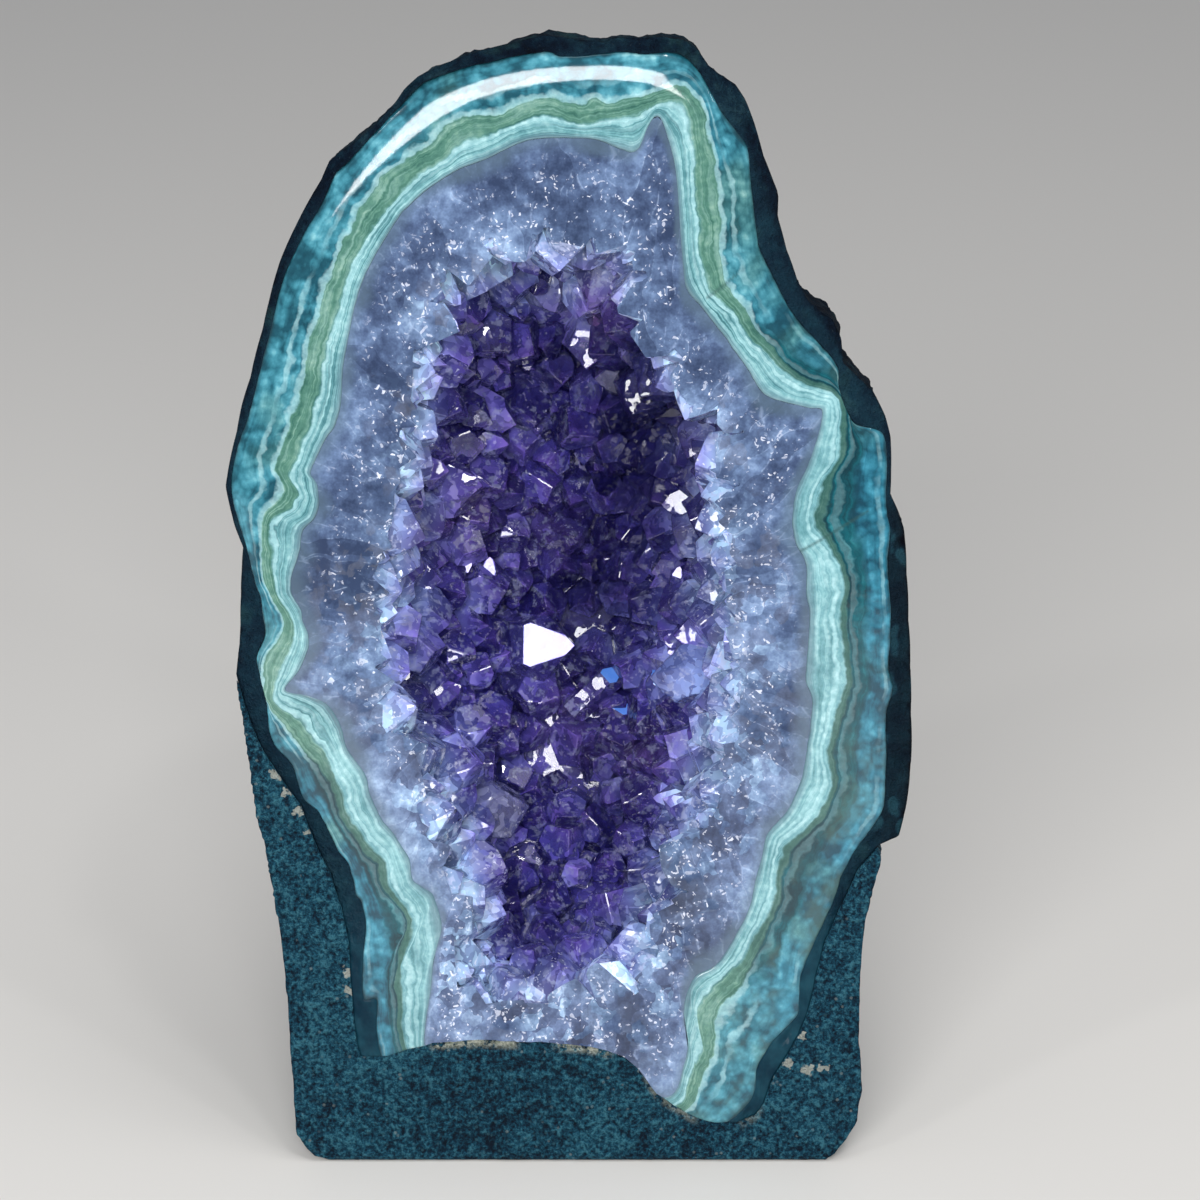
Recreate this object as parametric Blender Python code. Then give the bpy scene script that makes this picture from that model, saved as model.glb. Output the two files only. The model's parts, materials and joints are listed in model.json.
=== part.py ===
"""Amethyst cathedral: half of a basalt-hosted geode, sawn and polished on the
front, standing on a moulded cement foot.

Metres, +Z up.  The sawn face looks along -Y and leans back by LEAN.  The
origin is on the floor, under the middle of the bounding box.

Four pieces, from the outside in:
  cement_base    moulded foot, sandy coat, flush with the sawn face
  basalt_rind    thin rough crust of the host rock
  agate_band     banded agate wall
  amethyst_druse quartz lining with every crystal grown into it, one solid
"""

import math
import random

import bmesh
import bpy
import numpy as np
from mathutils import Matrix, Vector, noise

# ---------------------------------------------------------------- dimensions
LEAN = math.radians(8.0)      # the sawn face leans back by this
FOOT_Y = -0.0651              # the face meets the floor here
MID_X = -0.0066               # puts the middle of the width on x = 0

# The outlines below are hand-read from a square front elevation, in units of
# SHEET_UNIT at the middle of the face, seen from SHEET_DIST, SHEET_TILT above
# the face's own normal.
SHEET_UNIT = 0.00024
SHEET_DIST = 1.056
SHEET_TILT = math.radians(12.0)
SHEET_MID = 600.0
FOOT_V = 0.1420               # from the middle of the sheet down to the floor

GAP = 0.0003                  # between pieces that touch
FRONT = -0.012                # stock in front of the sawn face, cut away
RIND_DEPTH = 0.1080           # deepest point of each shell behind the face
AGATE_DEPTH = 0.1010
DRUSE_DEPTH = 0.0800
CAVITY_DEPTH = 0.0640
LUMP = 0.0036                 # relief of the natural back

FOOT_BACK = 0.100             # depth of the foot on the floor
CRYSTALS = 92
CRYSTAL_R = (0.0078, 0.0124)  # radius of a crystal's prism
SEED = 11

# ------------------------------------------------------------------ outlines
# Outside of the geode, clockwise from its lower left, and closed under the foot.
RIND = [
    (357, 1044), (352, 998), (349, 944), (342, 910), (331, 875), (315, 843),
    (301, 806), (279, 778), (261, 748), (249, 718), (239, 690), (236, 676),
    (239, 646), (241, 598), (242, 548), (229, 507), (225, 488), (230, 458),
    (242, 406), (255, 357), (268, 302), (279, 264), (296, 225), (320, 181),
    (329, 161), (349, 147), (371, 129), (395, 103), (418, 78), (441, 67),
    (494, 48), (544, 36), (601, 43), (661, 38), (697, 49), (720, 76),
    (746, 101), (764, 156), (779, 195), (778, 218), (798, 282), (808, 303),
    (833, 321), (842, 340), (843, 364), (874, 394), (891, 438), (891, 495),
    (904, 530), (909, 621), (912, 715), (907, 807), (898, 838), (879, 845),
    (858, 871), (838, 914), (824, 944), (812, 998), (790, 1051), (762, 1108),
    (735, 1140), (690, 1150), (600, 1136), (500, 1128), (420, 1118),
    (372, 1090),
]
# Outside of the agate, at least 1.5 mm inside the crust.
AGATE = [
    (377, 1032), (377, 999), (363, 963), (361, 901), (349, 864), (338, 850),
    (319, 813), (303, 796), (292, 765), (276, 746), (269, 729), (263, 700),
    (258, 676), (262, 645), (262, 600), (251, 556), (237, 504), (246, 428),
    (262, 364), (285, 275), (301, 239), (324, 200), (338, 172), (373, 139),
    (398, 113), (419, 90), (432, 84), (475, 66), (547, 52), (619, 52),
    (668, 53), (684, 57), (700, 78), (720, 110), (748, 149), (755, 218),
    (771, 273), (798, 321), (819, 344), (837, 366), (839, 387), (850, 415),
    (878, 437), (884, 461), (882, 507), (887, 530), (884, 564), (888, 598),
    (888, 669), (892, 689), (886, 720), (884, 790), (868, 832), (854, 852),
    (842, 875), (815, 940), (801, 975), (798, 1012), (773, 1041), (757, 1067),
    (744, 1100), (722, 1122), (680, 1128), (600, 1116), (500, 1106),
    (430, 1096), (388, 1070),
]
# Where the agate meets the quartz.
QUARTZ = [
    (425, 1046), (426, 1021), (434, 959), (441, 924), (430, 892), (413, 880),
    (409, 859), (381, 818), (365, 774), (347, 749), (329, 706), (308, 696),
    (285, 690), (299, 671), (308, 650), (303, 623), (292, 594), (292, 575),
    (303, 530), (315, 518), (319, 502), (310, 474), (324, 442), (341, 403),
    (349, 334), (365, 275), (384, 241), (402, 213), (430, 188), (459, 170),
    (523, 142), (557, 138), (592, 139), (631, 153), (640, 147), (654, 119),
    (668, 138), (678, 195), (681, 241), (686, 287), (720, 331), (762, 392),
    (780, 401), (822, 410), (819, 433), (796, 491), (792, 518), (806, 566),
    (806, 594), (810, 612), (806, 680), (812, 701), (801, 779), (787, 811),
    (767, 834), (755, 882), (737, 933), (718, 963), (695, 977), (685, 1000),
    (684, 1021), (688, 1044), (684, 1064), (669, 1096), (600, 1092),
    (500, 1086), (436, 1076),
]
# Root line of the crystals: the mouth of the cavity without them.
CAVITY = [
    (455, 1012), (446, 950), (440, 905), (418, 855), (398, 812), (376, 762),
    (352, 716), (352, 672), (360, 632), (352, 590), (360, 545), (372, 500),
    (380, 450), (392, 390), (404, 330), (424, 275), (452, 236), (500, 214),
    (552, 206), (602, 214), (640, 232), (655, 268), (668, 312), (700, 352),
    (742, 392), (764, 428), (756, 470), (748, 510), (758, 560), (762, 610),
    (762, 680), (756, 740), (738, 800), (716, 856), (694, 915), (664, 968),
    (640, 1010), (600, 1024), (540, 1026), (490, 1024),
]
# Top edge of the cement across the face; it runs on to both sides.
CEMENT_TOP = [
    (150, 1057), (375, 1057), (402, 1051), (432, 1044), (467, 1041),
    (512, 1042), (558, 1044), (604, 1050), (624, 1057), (640, 1071),
    (656, 1094), (670, 1103), (689, 1115), (707, 1122), (739, 1122),
    (762, 1112), (1020, 1112),
]
# Sides of the foot as seen from the front, from the floor up.
FOOT_LEFT = [
    (330, 1164), (311, 1157), (296, 1137), (291, 1101), (286, 1021),
    (277, 936), (265, 865), (253, 818), (244, 762), (238, 715), (234, 680),
]
FOOT_RIGHT = [
    (826, 1163), (845, 1148), (859, 1122), (864, 1090), (861, 1044),
    (863, 975), (868, 920), (878, 880), (884, 858), (872, 836),
]


def sheet(px, py):
    """A point of the front elevation as (u, v) on the sawn face, in metres."""
    across = (px - SHEET_MID) * SHEET_UNIT
    up = (SHEET_MID - py) * SHEET_UNIT
    b = up / (math.cos(SHEET_TILT) + up / SHEET_DIST * math.sin(SHEET_TILT))
    near = 1.0 - b * math.sin(SHEET_TILT) / SHEET_DIST
    return np.array([across * near - MID_X, b + FOOT_V])


def outline(points):
    return np.array([sheet(*p) for p in points])


def thinned(points, most):
    """Drops the corners of a closed outline that stand off a straight run by less than most."""
    def keep(a, b):
        if b - a < 2:
            return []
        run = ring[b] - ring[a]
        length = max(float(np.hypot(*run)), 1e-9)
        off = [abs(run[0] * (p - ring[a])[1] - run[1] * (p - ring[a])[0]) / length
               for p in ring[a + 1:b]]
        far = int(np.argmax(off))
        if off[far] < most:
            return []
        k = a + 1 + far
        return keep(a, k) + [k] + keep(k, b)
    ring = np.vstack([points, points[:1]])
    half = len(points) // 2
    return ring[[0] + keep(0, half) + [half] + keep(half, len(points))]


def inset(points, d):
    """Moves each corner of a closed clockwise outline inwards by d."""
    before = points - np.roll(points, 1, axis=0)
    after = np.roll(points, -1, axis=0) - points
    n = np.zeros_like(points)
    for edge in (before, after):
        edge = edge / np.linalg.norm(edge, axis=1)[:, None]
        n += np.stack([edge[:, 1], -edge[:, 0]], axis=1)
    n /= np.linalg.norm(n, axis=1)[:, None]
    return points + n * d


MIDDLE = sheet(585, 610)      # every shell closes towards this line


def swell(depth, w, power):
    """Share of the outline that is left at depth w."""
    return (1.0 - min(max(w, 0.0) / depth, 1.0) ** power) ** 0.5


# ------------------------------------------------------------ scene and tree
for stale in list(bpy.data.objects):
    bpy.data.objects.remove(stale, do_unlink=True)

scene = bpy.context.scene
parts = bpy.data.collections.new("amethyst_cathedral")
cutters = bpy.data.collections.new("cutters")
scene.collection.children.link(parts)
scene.collection.children.link(cutters)

stand = bpy.data.objects.new("leaning_face", None)
stand.location = (0.0, FOOT_Y, 0.0)
stand.rotation_euler = (-LEAN, 0.0, 0.0)
parts.objects.link(stand)


def material(name, colour, roughness, transmission=0.0):
    mat = bpy.data.materials.new(name)
    mat.use_nodes = True
    shader = mat.node_tree.nodes["Principled BSDF"]
    shader.inputs["Base Color"].default_value = (*colour, 1.0)
    shader.inputs["Roughness"].default_value = roughness
    shader.inputs["Metallic"].default_value = 0.0
    shader.inputs["Transmission Weight"].default_value = transmission
    shader.inputs["IOR"].default_value = 1.54
    mat.diffuse_color = (*colour, 1.0)
    return mat


def place(name, bm, mat=None, leaning=True, cutter=False):
    bmesh.ops.recalc_face_normals(bm, faces=bm.faces[:])
    mesh = bpy.data.meshes.new(name)
    bm.to_mesh(mesh)
    bm.free()
    obj = bpy.data.objects.new(name, mesh)
    (cutters if cutter else parts).objects.link(obj)
    if leaning:
        obj.parent = stand
    if mat:
        mesh.materials.append(mat)
    if cutter:
        obj.hide_render = True
        obj.display_type = "WIRE"
    return obj


def boolean(obj, other, operation, own=False):
    mod = obj.modifiers.new(operation.lower() + "_" + other.name, "BOOLEAN")
    mod.operation = operation
    mod.object = other
    mod.solver = "EXACT"
    mod.use_self = own
    return mod


def settled(obj):
    """Replaces an object's mesh by its evaluated one, and keeps the largest body."""
    bpy.context.view_layer.update()
    graph = bpy.context.evaluated_depsgraph_get()
    mesh = bpy.data.meshes.new_from_object(obj.evaluated_get(graph))
    obj.modifiers.clear()
    bm = bmesh.new()
    bm.from_mesh(mesh)
    left = set(bm.verts)
    bodies = []
    while left:
        seed = left.pop()
        body, edge = {seed}, [seed]
        while edge:
            for e in edge.pop().link_edges:
                for v in e.verts:
                    if v in left:
                        left.discard(v)
                        body.add(v)
                        edge.append(v)
        bodies.append(body)
    bodies.sort(key=len)
    for body in bodies[:-1]:
        bmesh.ops.delete(bm, geom=list(body), context="VERTS")
    bmesh.ops.dissolve_degenerate(bm, dist=2e-6, edges=bm.edges[:])
    bm.to_mesh(mesh)
    bm.free()
    old = obj.data
    obj.data = mesh
    bpy.data.meshes.remove(old)
    return obj


# ------------------------------------------------------------------- shells
def shell(points, depth, rings, power=2.4, lump=0.0):
    """Closed dome behind an outline of the face: local X across, Y back, Z up the face."""
    bm = bmesh.new()
    levels = [(FRONT, 1.0), (0.0006, 1.0)]
    for k in range(1, rings):
        w = depth * math.sin(math.pi / 2 * (k / rings) ** 0.92)
        levels.append((w, swell(depth, w, power)))
    loops = []
    for w, share in levels:
        loop = []
        for p in points:
            flat = MIDDLE + (p - MIDDLE) * share
            out = (p - MIDDLE) / np.linalg.norm(p - MIDDLE)
            if lump and w > 0.004:
                rise = lump * min(w / 0.02, 1.0) * (
                    0.5 + 0.5 * noise.noise(Vector((flat[0] * 38, w * 38, flat[1] * 38))))
                flat = flat + out * rise * max(share, 0.25)
                w_here = w + rise * (1.0 - share)
            else:
                w_here = w
            loop.append(bm.verts.new((flat[0], w_here, flat[1])))
        loops.append(loop)
    count = len(points)
    bm.faces.new(loops[0])
    for near, far in zip(loops, loops[1:]):
        for i in range(count):
            j = (i + 1) % count
            bm.faces.new((near[i], near[j], far[j]))
            bm.faces.new((near[i], far[j], far[i]))
    pole = bm.verts.new((MIDDLE[0], depth + lump * 0.5, MIDDLE[1]))
    for i in range(count):
        bm.faces.new((loops[-1][i], loops[-1][(i + 1) % count], pole))
    return bm


def slab(lift, front=-0.03, back=0.16):
    """Everything under the cement's top edge, run straight back."""
    top = [sheet(*p) + np.array([0.0, lift]) for p in CEMENT_TOP]
    low = [np.array([top[-1][0], -0.06]), np.array([top[0][0], -0.06])]
    bm = bmesh.new()
    a = [bm.verts.new((p[0], front, p[1])) for p in top + low]
    b = [bm.verts.new((p[0], back, p[1])) for p in top + low]
    bm.faces.new(a)
    bm.faces.new(list(reversed(b)))
    for i in range(len(a)):
        j = (i + 1) % len(a)
        bm.faces.new((a[i], a[j], b[j], b[i]))
    return bm


rind_line, agate_line = thinned(outline(RIND), 0.0006), thinned(outline(AGATE), 0.0006)
quartz_line, cavity_line = thinned(outline(QUARTZ), 0.0007), thinned(outline(CAVITY), 0.0008)

grey_basalt = material("basalt", (0.020, 0.045, 0.062), 0.85)
green_agate = material("agate", (0.16, 0.42, 0.44), 0.18)
lilac_quartz = material("amethyst", (0.33, 0.26, 0.62), 0.08, 0.6)
sandy_cement = material("sandy_cement", (0.018, 0.075, 0.110), 0.95)

# The saw's cut: a block that takes everything in front of the face.
saw = bmesh.new()
bmesh.ops.create_cube(saw, size=1.0, matrix=Matrix.LocRotScale(
    Vector((0.0, -0.04, 0.13)), None, Vector((0.6, 0.08, 0.6))))
saw = place("saw_cut", saw, cutter=True)

under = place("under_cement_edge", slab(GAP), cutter=True)
bed = place("bed_in_cement", slab(0.0), cutter=True)

# ----------------------------------------------------------------- the crust
rind = place("basalt_rind", shell(rind_line, RIND_DEPTH, 7, lump=LUMP), grey_basalt)
boolean(rind, place("agate_seat", shell(agate_line, AGATE_DEPTH, 6), cutter=True), "DIFFERENCE")
boolean(rind, under, "DIFFERENCE")
boolean(rind, saw, "DIFFERENCE")

# ----------------------------------------------------------------- the agate
agate = place("agate_band", shell(inset(agate_line, GAP), AGATE_DEPTH - GAP, 6), green_agate)
boolean(agate, place("druse_seat", shell(quartz_line, DRUSE_DEPTH, 5), cutter=True), "DIFFERENCE")
boolean(agate, under, "DIFFERENCE")
boolean(agate, saw, "DIFFERENCE")


# --------------------------------------------------------------- the crystals
def cavity_point(s, lift):
    """A point of the crystals' root surface, s along the mouth and lift from face (0) to back (1)."""
    n = len(cavity_line)
    i = int(s * n) % n
    t = s * n - int(s * n)
    p = cavity_line[i] * (1 - t) + cavity_line[(i + 1) % n] * t
    w = CAVITY_DEPTH * math.sin(math.pi / 2 * lift)
    flat = MIDDLE + (p - MIDDLE) * swell(CAVITY_DEPTH, w, 2.2)
    return Vector((flat[0], w, flat[1]))


def cavity_normal(s, lift):
    a = cavity_point((s + 0.004) % 1.0, lift) - cavity_point((s - 0.004) % 1.0, lift)
    b = cavity_point(s, min(lift + 0.02, 0.995)) - cavity_point(s, max(lift - 0.02, 0.0))
    n = a.cross(b).normalized()
    aim = Vector((MIDDLE[0], CAVITY_DEPTH * 0.35, MIDDLE[1])) - cavity_point(s, lift)
    return n if n.dot(aim) > 0 else -n


def crystal(bm, root, axis, radius, length, turn, skew):
    """One hexagonal point: a prism whose end is raised to an off-centre tip."""
    made = bmesh.ops.create_cone(bm, cap_ends=True, segments=6, radius1=radius * 0.86,
                                 radius2=radius, depth=length)["verts"]
    top = [f for f in {f for v in made for f in v.link_faces}
           if len(f.verts) == 6 and f.calc_center_median().z > 0]
    tip = bmesh.ops.poke(bm, faces=top)["verts"][0]
    tip.co.z += radius * 1.12
    tip.co.x += skew[0] * radius
    tip.co.y += skew[1] * radius
    pose = (Matrix.Translation(root)
            @ axis.to_track_quat("Z", "Y").to_matrix().to_4x4()
            @ Matrix.Rotation(turn, 4, "Z")
            @ Matrix.Translation((0.0, 0.0, length / 2)))
    bmesh.ops.transform(bm, matrix=pose, verts=made + [tip])


rng = random.Random(SEED)
spots = []
for _ in range(6000):
    s, lift = rng.random(), rng.random() ** 0.8
    share = swell(CAVITY_DEPTH, CAVITY_DEPTH * math.sin(math.pi / 2 * lift), 2.2)
    if rng.random() > share + 0.12:
        continue
    at = cavity_point(s, lift)
    radius = CRYSTAL_R[0] + (CRYSTAL_R[1] - CRYSTAL_R[0]) * rng.random() ** 1.3
    if all((at - o[0]).length > 0.84 * (radius + o[2]) for o in spots):
        spots.append((at, cavity_normal(s, lift), radius))
    if len(spots) == CRYSTALS:
        break

druse_points = bmesh.new()
for at, normal, radius in spots:
    axis = (normal + Vector([rng.uniform(-0.30, 0.30) for _ in range(3)])).normalized()
    length = radius * rng.uniform(0.9, 1.4) + 0.004
    crystal(druse_points, at - axis * 0.004, axis, radius, length,
            rng.uniform(0, math.tau), (rng.uniform(-0.25, 0.25), rng.uniform(-0.25, 0.25)))
druse_points = place("crystal_points", druse_points, cutter=True)

hollow = place("cavity", shell(cavity_line, CAVITY_DEPTH, 5, power=2.2), cutter=True)
boolean(hollow, druse_points, "DIFFERENCE", own=True)
settled(hollow)

druse = place("amethyst_druse", shell(inset(quartz_line, GAP), DRUSE_DEPTH - GAP, 5), lilac_quartz)
boolean(druse, hollow, "DIFFERENCE")
boolean(druse, under, "DIFFERENCE")
boolean(druse, saw, "DIFFERENCE")
settled(druse)


# ------------------------------------------------------------------ the foot
def side_at(line, z):
    """Half-breadth of the foot on one side at height z, from its front outline."""
    pts = [sheet(*p) for p in line]
    hs = [p[1] * math.cos(LEAN) for p in pts]
    hs[0] = 0.0
    return float(np.interp(z, hs, [p[0] for p in pts]))


def foot():
    """Level rings of the foot, from the floor up until they are all inside the geode."""
    left_top = sheet(*FOOT_LEFT[-1])[1] * math.cos(LEAN)
    right_top = sheet(*FOOT_RIGHT[-1])[1] * math.cos(LEAN)
    bm = bmesh.new()
    loops = []
    for z in (0.0, 0.0012, 0.004, 0.009, 0.018, 0.030, 0.043, 0.056, 0.067,
              0.076, 0.085, 0.096, 0.108, left_top, left_top + 0.006):
        front = FOOT_Y + z * math.tan(LEAN) + FRONT
        low = min(z / 0.010, 1.0)
        back = FOOT_Y + FOOT_BACK - 0.008 * (1 - low) ** 2 + 0.012 * min(z / 0.06, 1.0)
        over = max(z - 0.067, 0.0)
        back -= over * 1.35
        left = side_at(FOOT_LEFT, z) + max(z - left_top, 0.0) * 1.6
        right = side_at(FOOT_RIGHT, z) - max(z - right_top, 0.0) * 1.5
        mid_x, half_x = (left + right) / 2, (right - left) / 2
        mid_y = FOOT_Y + z * math.tan(LEAN) + 0.020
        loop = []
        count = 44
        for i in range(count):
            a = math.tau * i / count
            c, s = math.cos(a), math.sin(a)
            e = 2 / 2.7 if s > 0 else 2 / 9.0
            x = mid_x + half_x * math.copysign(abs(c) ** e, c)
            reach = (back - mid_y) if s > 0 else (mid_y - front)
            y = mid_y + reach * math.copysign(abs(s) ** e, s)
            if s > 0.2 and 0.001 < z < 0.08:
                bump = 0.0016 * noise.noise(Vector((x * 40, y * 40, z * 40)))
                x, y = x + bump * c, y + bump * s
            loop.append(bm.verts.new((x, y, z)))
        loops.append(loop)
    bm.faces.new(loops[0])
    bm.faces.new(loops[-1])
    for lo, hi in zip(loops, loops[1:]):
        for i in range(count):
            j = (i + 1) % count
            bm.faces.new((lo[i], lo[j], hi[j], hi[i]))
    bmesh.ops.triangulate(bm, faces=[f for f in bm.faces if len(f.verts) == 4])
    return bm


cement = place("cement_base", foot(), sandy_cement, leaning=False)
bedded = place("geode_in_cement", shell(inset(rind_line, -GAP), RIND_DEPTH + GAP, 7, lump=LUMP),
               cutter=True)
boolean(bedded, bed, "DIFFERENCE")
boolean(cement, bedded, "DIFFERENCE")
boolean(cement, saw, "DIFFERENCE")
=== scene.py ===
import json
import math
import random

import bmesh
import bpy
import numpy as np
from mathutils import Matrix, Vector, noise
from mathutils.kdtree import KDTree

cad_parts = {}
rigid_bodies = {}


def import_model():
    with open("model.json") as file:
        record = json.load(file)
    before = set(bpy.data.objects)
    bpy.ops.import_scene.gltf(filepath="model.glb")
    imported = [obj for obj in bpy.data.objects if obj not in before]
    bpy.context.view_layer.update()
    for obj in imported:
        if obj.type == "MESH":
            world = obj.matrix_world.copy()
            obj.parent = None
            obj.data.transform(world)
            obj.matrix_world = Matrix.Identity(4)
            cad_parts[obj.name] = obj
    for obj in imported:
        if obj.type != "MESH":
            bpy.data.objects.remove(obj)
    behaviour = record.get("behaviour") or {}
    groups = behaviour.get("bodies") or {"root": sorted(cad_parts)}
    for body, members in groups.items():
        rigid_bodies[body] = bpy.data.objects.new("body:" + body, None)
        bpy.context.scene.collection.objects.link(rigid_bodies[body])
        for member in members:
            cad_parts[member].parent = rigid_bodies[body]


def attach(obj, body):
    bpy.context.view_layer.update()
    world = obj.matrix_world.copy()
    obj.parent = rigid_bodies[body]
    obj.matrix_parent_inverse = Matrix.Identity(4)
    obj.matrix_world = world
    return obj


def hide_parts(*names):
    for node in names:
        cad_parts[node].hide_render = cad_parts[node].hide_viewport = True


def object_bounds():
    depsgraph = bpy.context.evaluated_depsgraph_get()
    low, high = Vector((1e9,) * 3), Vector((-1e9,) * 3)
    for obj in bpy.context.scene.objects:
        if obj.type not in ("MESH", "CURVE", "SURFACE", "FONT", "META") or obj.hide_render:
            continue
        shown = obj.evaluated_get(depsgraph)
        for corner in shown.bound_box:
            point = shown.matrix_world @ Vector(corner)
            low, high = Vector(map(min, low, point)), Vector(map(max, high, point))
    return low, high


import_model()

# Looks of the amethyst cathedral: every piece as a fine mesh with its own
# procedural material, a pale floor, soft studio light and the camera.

CAD_BOX = [list(map(float, c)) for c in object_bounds()]

# ---------------------------------------------------------------- dimensions
LEAN = math.radians(8.0)
SIN, COS = math.sin(LEAN), math.cos(LEAN)
FOOT_Y, MID_X = -0.0651, -0.0066
SHEET_UNIT, SHEET_DIST, SHEET_TILT, SHEET_MID, FOOT_V = 0.00024, 1.056, math.radians(12.0), 600.0, 0.1420
RIND_DEPTH, AGATE_DEPTH, DRUSE_DEPTH, CAVITY_DEPTH, LUMP = 0.1080, 0.1010, 0.0800, 0.0640, 0.0036
FRONT = -0.012
FOOT_BACK = 0.100
GAP = 0.00008                 # between the fine meshes that touch


def sheet(px, py):
    """A point of the front elevation as (u, v) on the sawn face, in metres."""
    across = (px - SHEET_MID) * SHEET_UNIT
    up = (SHEET_MID - py) * SHEET_UNIT
    b = up / (math.cos(SHEET_TILT) + up / SHEET_DIST * math.sin(SHEET_TILT))
    near = 1.0 - b * math.sin(SHEET_TILT) / SHEET_DIST
    return np.array([across * near - MID_X, b + FOOT_V])


def world(u, w, v):
    """From across, behind and up the face to the row frame."""
    return np.stack([u, FOOT_Y + v * SIN + w * COS, v * COS - w * SIN], axis=-1)


def local(P):
    y, z = P[..., 1] - FOOT_Y, P[..., 2]
    return P[..., 0], y * COS - z * SIN, y * SIN + z * COS


N_FACE = np.array([0.0, -COS, SIN])   # out of the sawn face

# ------------------------------------------------------------------ outlines
RIND = [
    (357, 1044), (352, 998), (349, 944), (342, 910), (331, 875), (315, 843),
    (301, 806), (279, 778), (261, 748), (249, 718), (240, 690), (236, 676),
    (239, 646), (241, 626), (240, 598), (241, 571), (242, 548), (234, 527),
    (229, 507), (225, 488), (230, 458), (236, 433), (242, 406), (249, 378),
    (255, 357), (262, 330), (268, 302), (279, 264), (296, 225), (320, 181),
    (329, 161), (349, 147), (371, 129), (395, 103), (404, 90), (418, 78),
    (441, 67), (464, 58), (494, 48), (521, 42), (544, 36), (576, 40),
    (601, 43), (617, 38), (638, 39), (661, 38), (684, 41), (697, 49),
    (709, 67), (720, 76), (736, 86), (746, 101), (755, 124), (764, 156),
    (773, 181), (779, 195), (778, 218), (787, 250), (798, 282), (808, 303),
    (821, 312), (833, 321), (842, 340), (843, 364), (858, 378), (874, 394),
    (886, 417), (891, 438), (892, 470), (891, 495), (900, 513), (904, 530),
    (907, 575), (909, 621), (911, 669), (912, 715), (910, 772), (907, 807),
    (899, 838), (880, 846), (858, 871), (838, 914), (824, 944), (815, 979),
    (812, 998), (803, 1025), (790, 1051), (773, 1078), (762, 1108),
    (735, 1140), (690, 1150), (600, 1136), (500, 1128), (420, 1118),
    (372, 1090),
]
AGATE = [
    (377, 1032), (377, 999), (364, 998), (363, 963), (366, 924), (361, 901),
    (356, 894), (349, 864), (338, 850), (319, 813), (303, 798), (292, 765),
    (276, 748), (269, 729), (267, 703), (263, 690), (260, 675), (257, 657),
    (265, 634), (261, 600), (257, 589), (252, 572), (247, 550), (233, 504),
    (231, 480), (236, 452), (246, 425), (254, 394), (262, 364), (271, 327),
    (284, 278), (301, 239), (322, 203), (335, 174), (345, 165), (372, 136),
    (396, 110), (418, 87), (430, 80), (452, 72), (475, 66), (510, 58),
    (547, 52), (560, 57), (587, 56), (619, 52), (642, 54), (668, 53),
    (684, 57), (702, 76), (720, 110), (739, 135), (748, 149), (751, 184),
    (755, 218), (759, 248), (771, 273), (785, 301), (798, 321), (819, 344),
    (838, 368), (839, 387), (849, 416), (858, 425), (882, 434), (887, 461),
    (886, 507), (890, 530), (887, 564), (890, 598), (890, 644), (888, 669),
    (893, 689), (886, 712), (886, 761), (883, 807), (868, 832), (854, 852),
    (842, 875), (833, 903), (815, 940), (801, 975), (799, 1002), (797, 1016),
    (773, 1041), (757, 1067), (755, 1090), (744, 1108), (722, 1124),
    (680, 1130), (600, 1118), (500, 1108), (430, 1098), (388, 1070),
]
GREEN = [   # outside of the green band
    (398, 1044), (395, 1010), (392, 985), (394, 958), (405, 930), (400, 912),
    (383, 893), (373, 868), (352, 843), (335, 818), (327, 790), (315, 770),
    (301, 747), (284, 727), (272, 712), (266, 700), (262, 686), (262, 662),
    (275, 640), (282, 622), (272, 600), (262, 578), (261, 552), (262, 524),
    (266, 508), (280, 498), (283, 486), (274, 464), (284, 436), (291, 412),
    (300, 388), (307, 345), (316, 320), (329, 274), (348, 228), (380, 178),
    (412, 150), (436, 136), (444, 126), (462, 116), (498, 112), (523, 103),
    (546, 97), (580, 105), (596, 99), (610, 103), (628, 96), (650, 92),
    (680, 84), (700, 96), (708, 116), (714, 150), (719, 190), (722, 232),
    (724, 270), (734, 294), (752, 318), (772, 346), (800, 372), (826, 382),
    (840, 392), (850, 418), (850, 450), (838, 486), (834, 520), (842, 548),
    (852, 580), (852, 640), (856, 680), (846, 720), (838, 752), (840, 786),
    (824, 824), (800, 846), (790, 870), (782, 906), (766, 944), (746, 984),
    (724, 1004), (716, 1026), (716, 1046), (712, 1066), (700, 1086),
    (686, 1112), (600, 1106), (500, 1098), (420, 1084),
]
WHITE = [   # outside of the white laminated zone
    (407, 1045), (405, 1010), (404, 985), (403, 962), (414, 933), (409, 908),
    (393, 888), (385, 860), (366, 836), (350, 811), (343, 784), (331, 761),
    (315, 738), (294, 716), (276, 704), (274, 692), (276, 676), (290, 648),
    (294, 630), (286, 610), (275, 590), (271, 559), (269, 530), (274, 517),
    (290, 509), (299, 495), (290, 476), (299, 450), (308, 428), (317, 396),
    (322, 364), (329, 334), (338, 303), (352, 266), (370, 232), (398, 196),
    (426, 172), (446, 158), (456, 146), (480, 136), (510, 124), (540, 116),
    (562, 118), (585, 124), (604, 120), (628, 114), (648, 106), (676, 100),
    (686, 108), (691, 129), (695, 161), (696, 195), (699, 230), (703, 264),
    (711, 289), (732, 311), (752, 340), (776, 366), (804, 386), (828, 394),
    (837, 402), (838, 425), (834, 461), (816, 490), (811, 518), (818, 539),
    (833, 559), (842, 587), (836, 621), (841, 660), (844, 672), (833, 710),
    (824, 749), (828, 784), (811, 820), (786, 840), (778, 856), (772, 890),
    (756, 930), (736, 966), (712, 988), (700, 1004), (697, 1024),
    (703, 1044), (697, 1064), (688, 1084), (676, 1106), (600, 1098),
    (500, 1092), (428, 1080),
]
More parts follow.
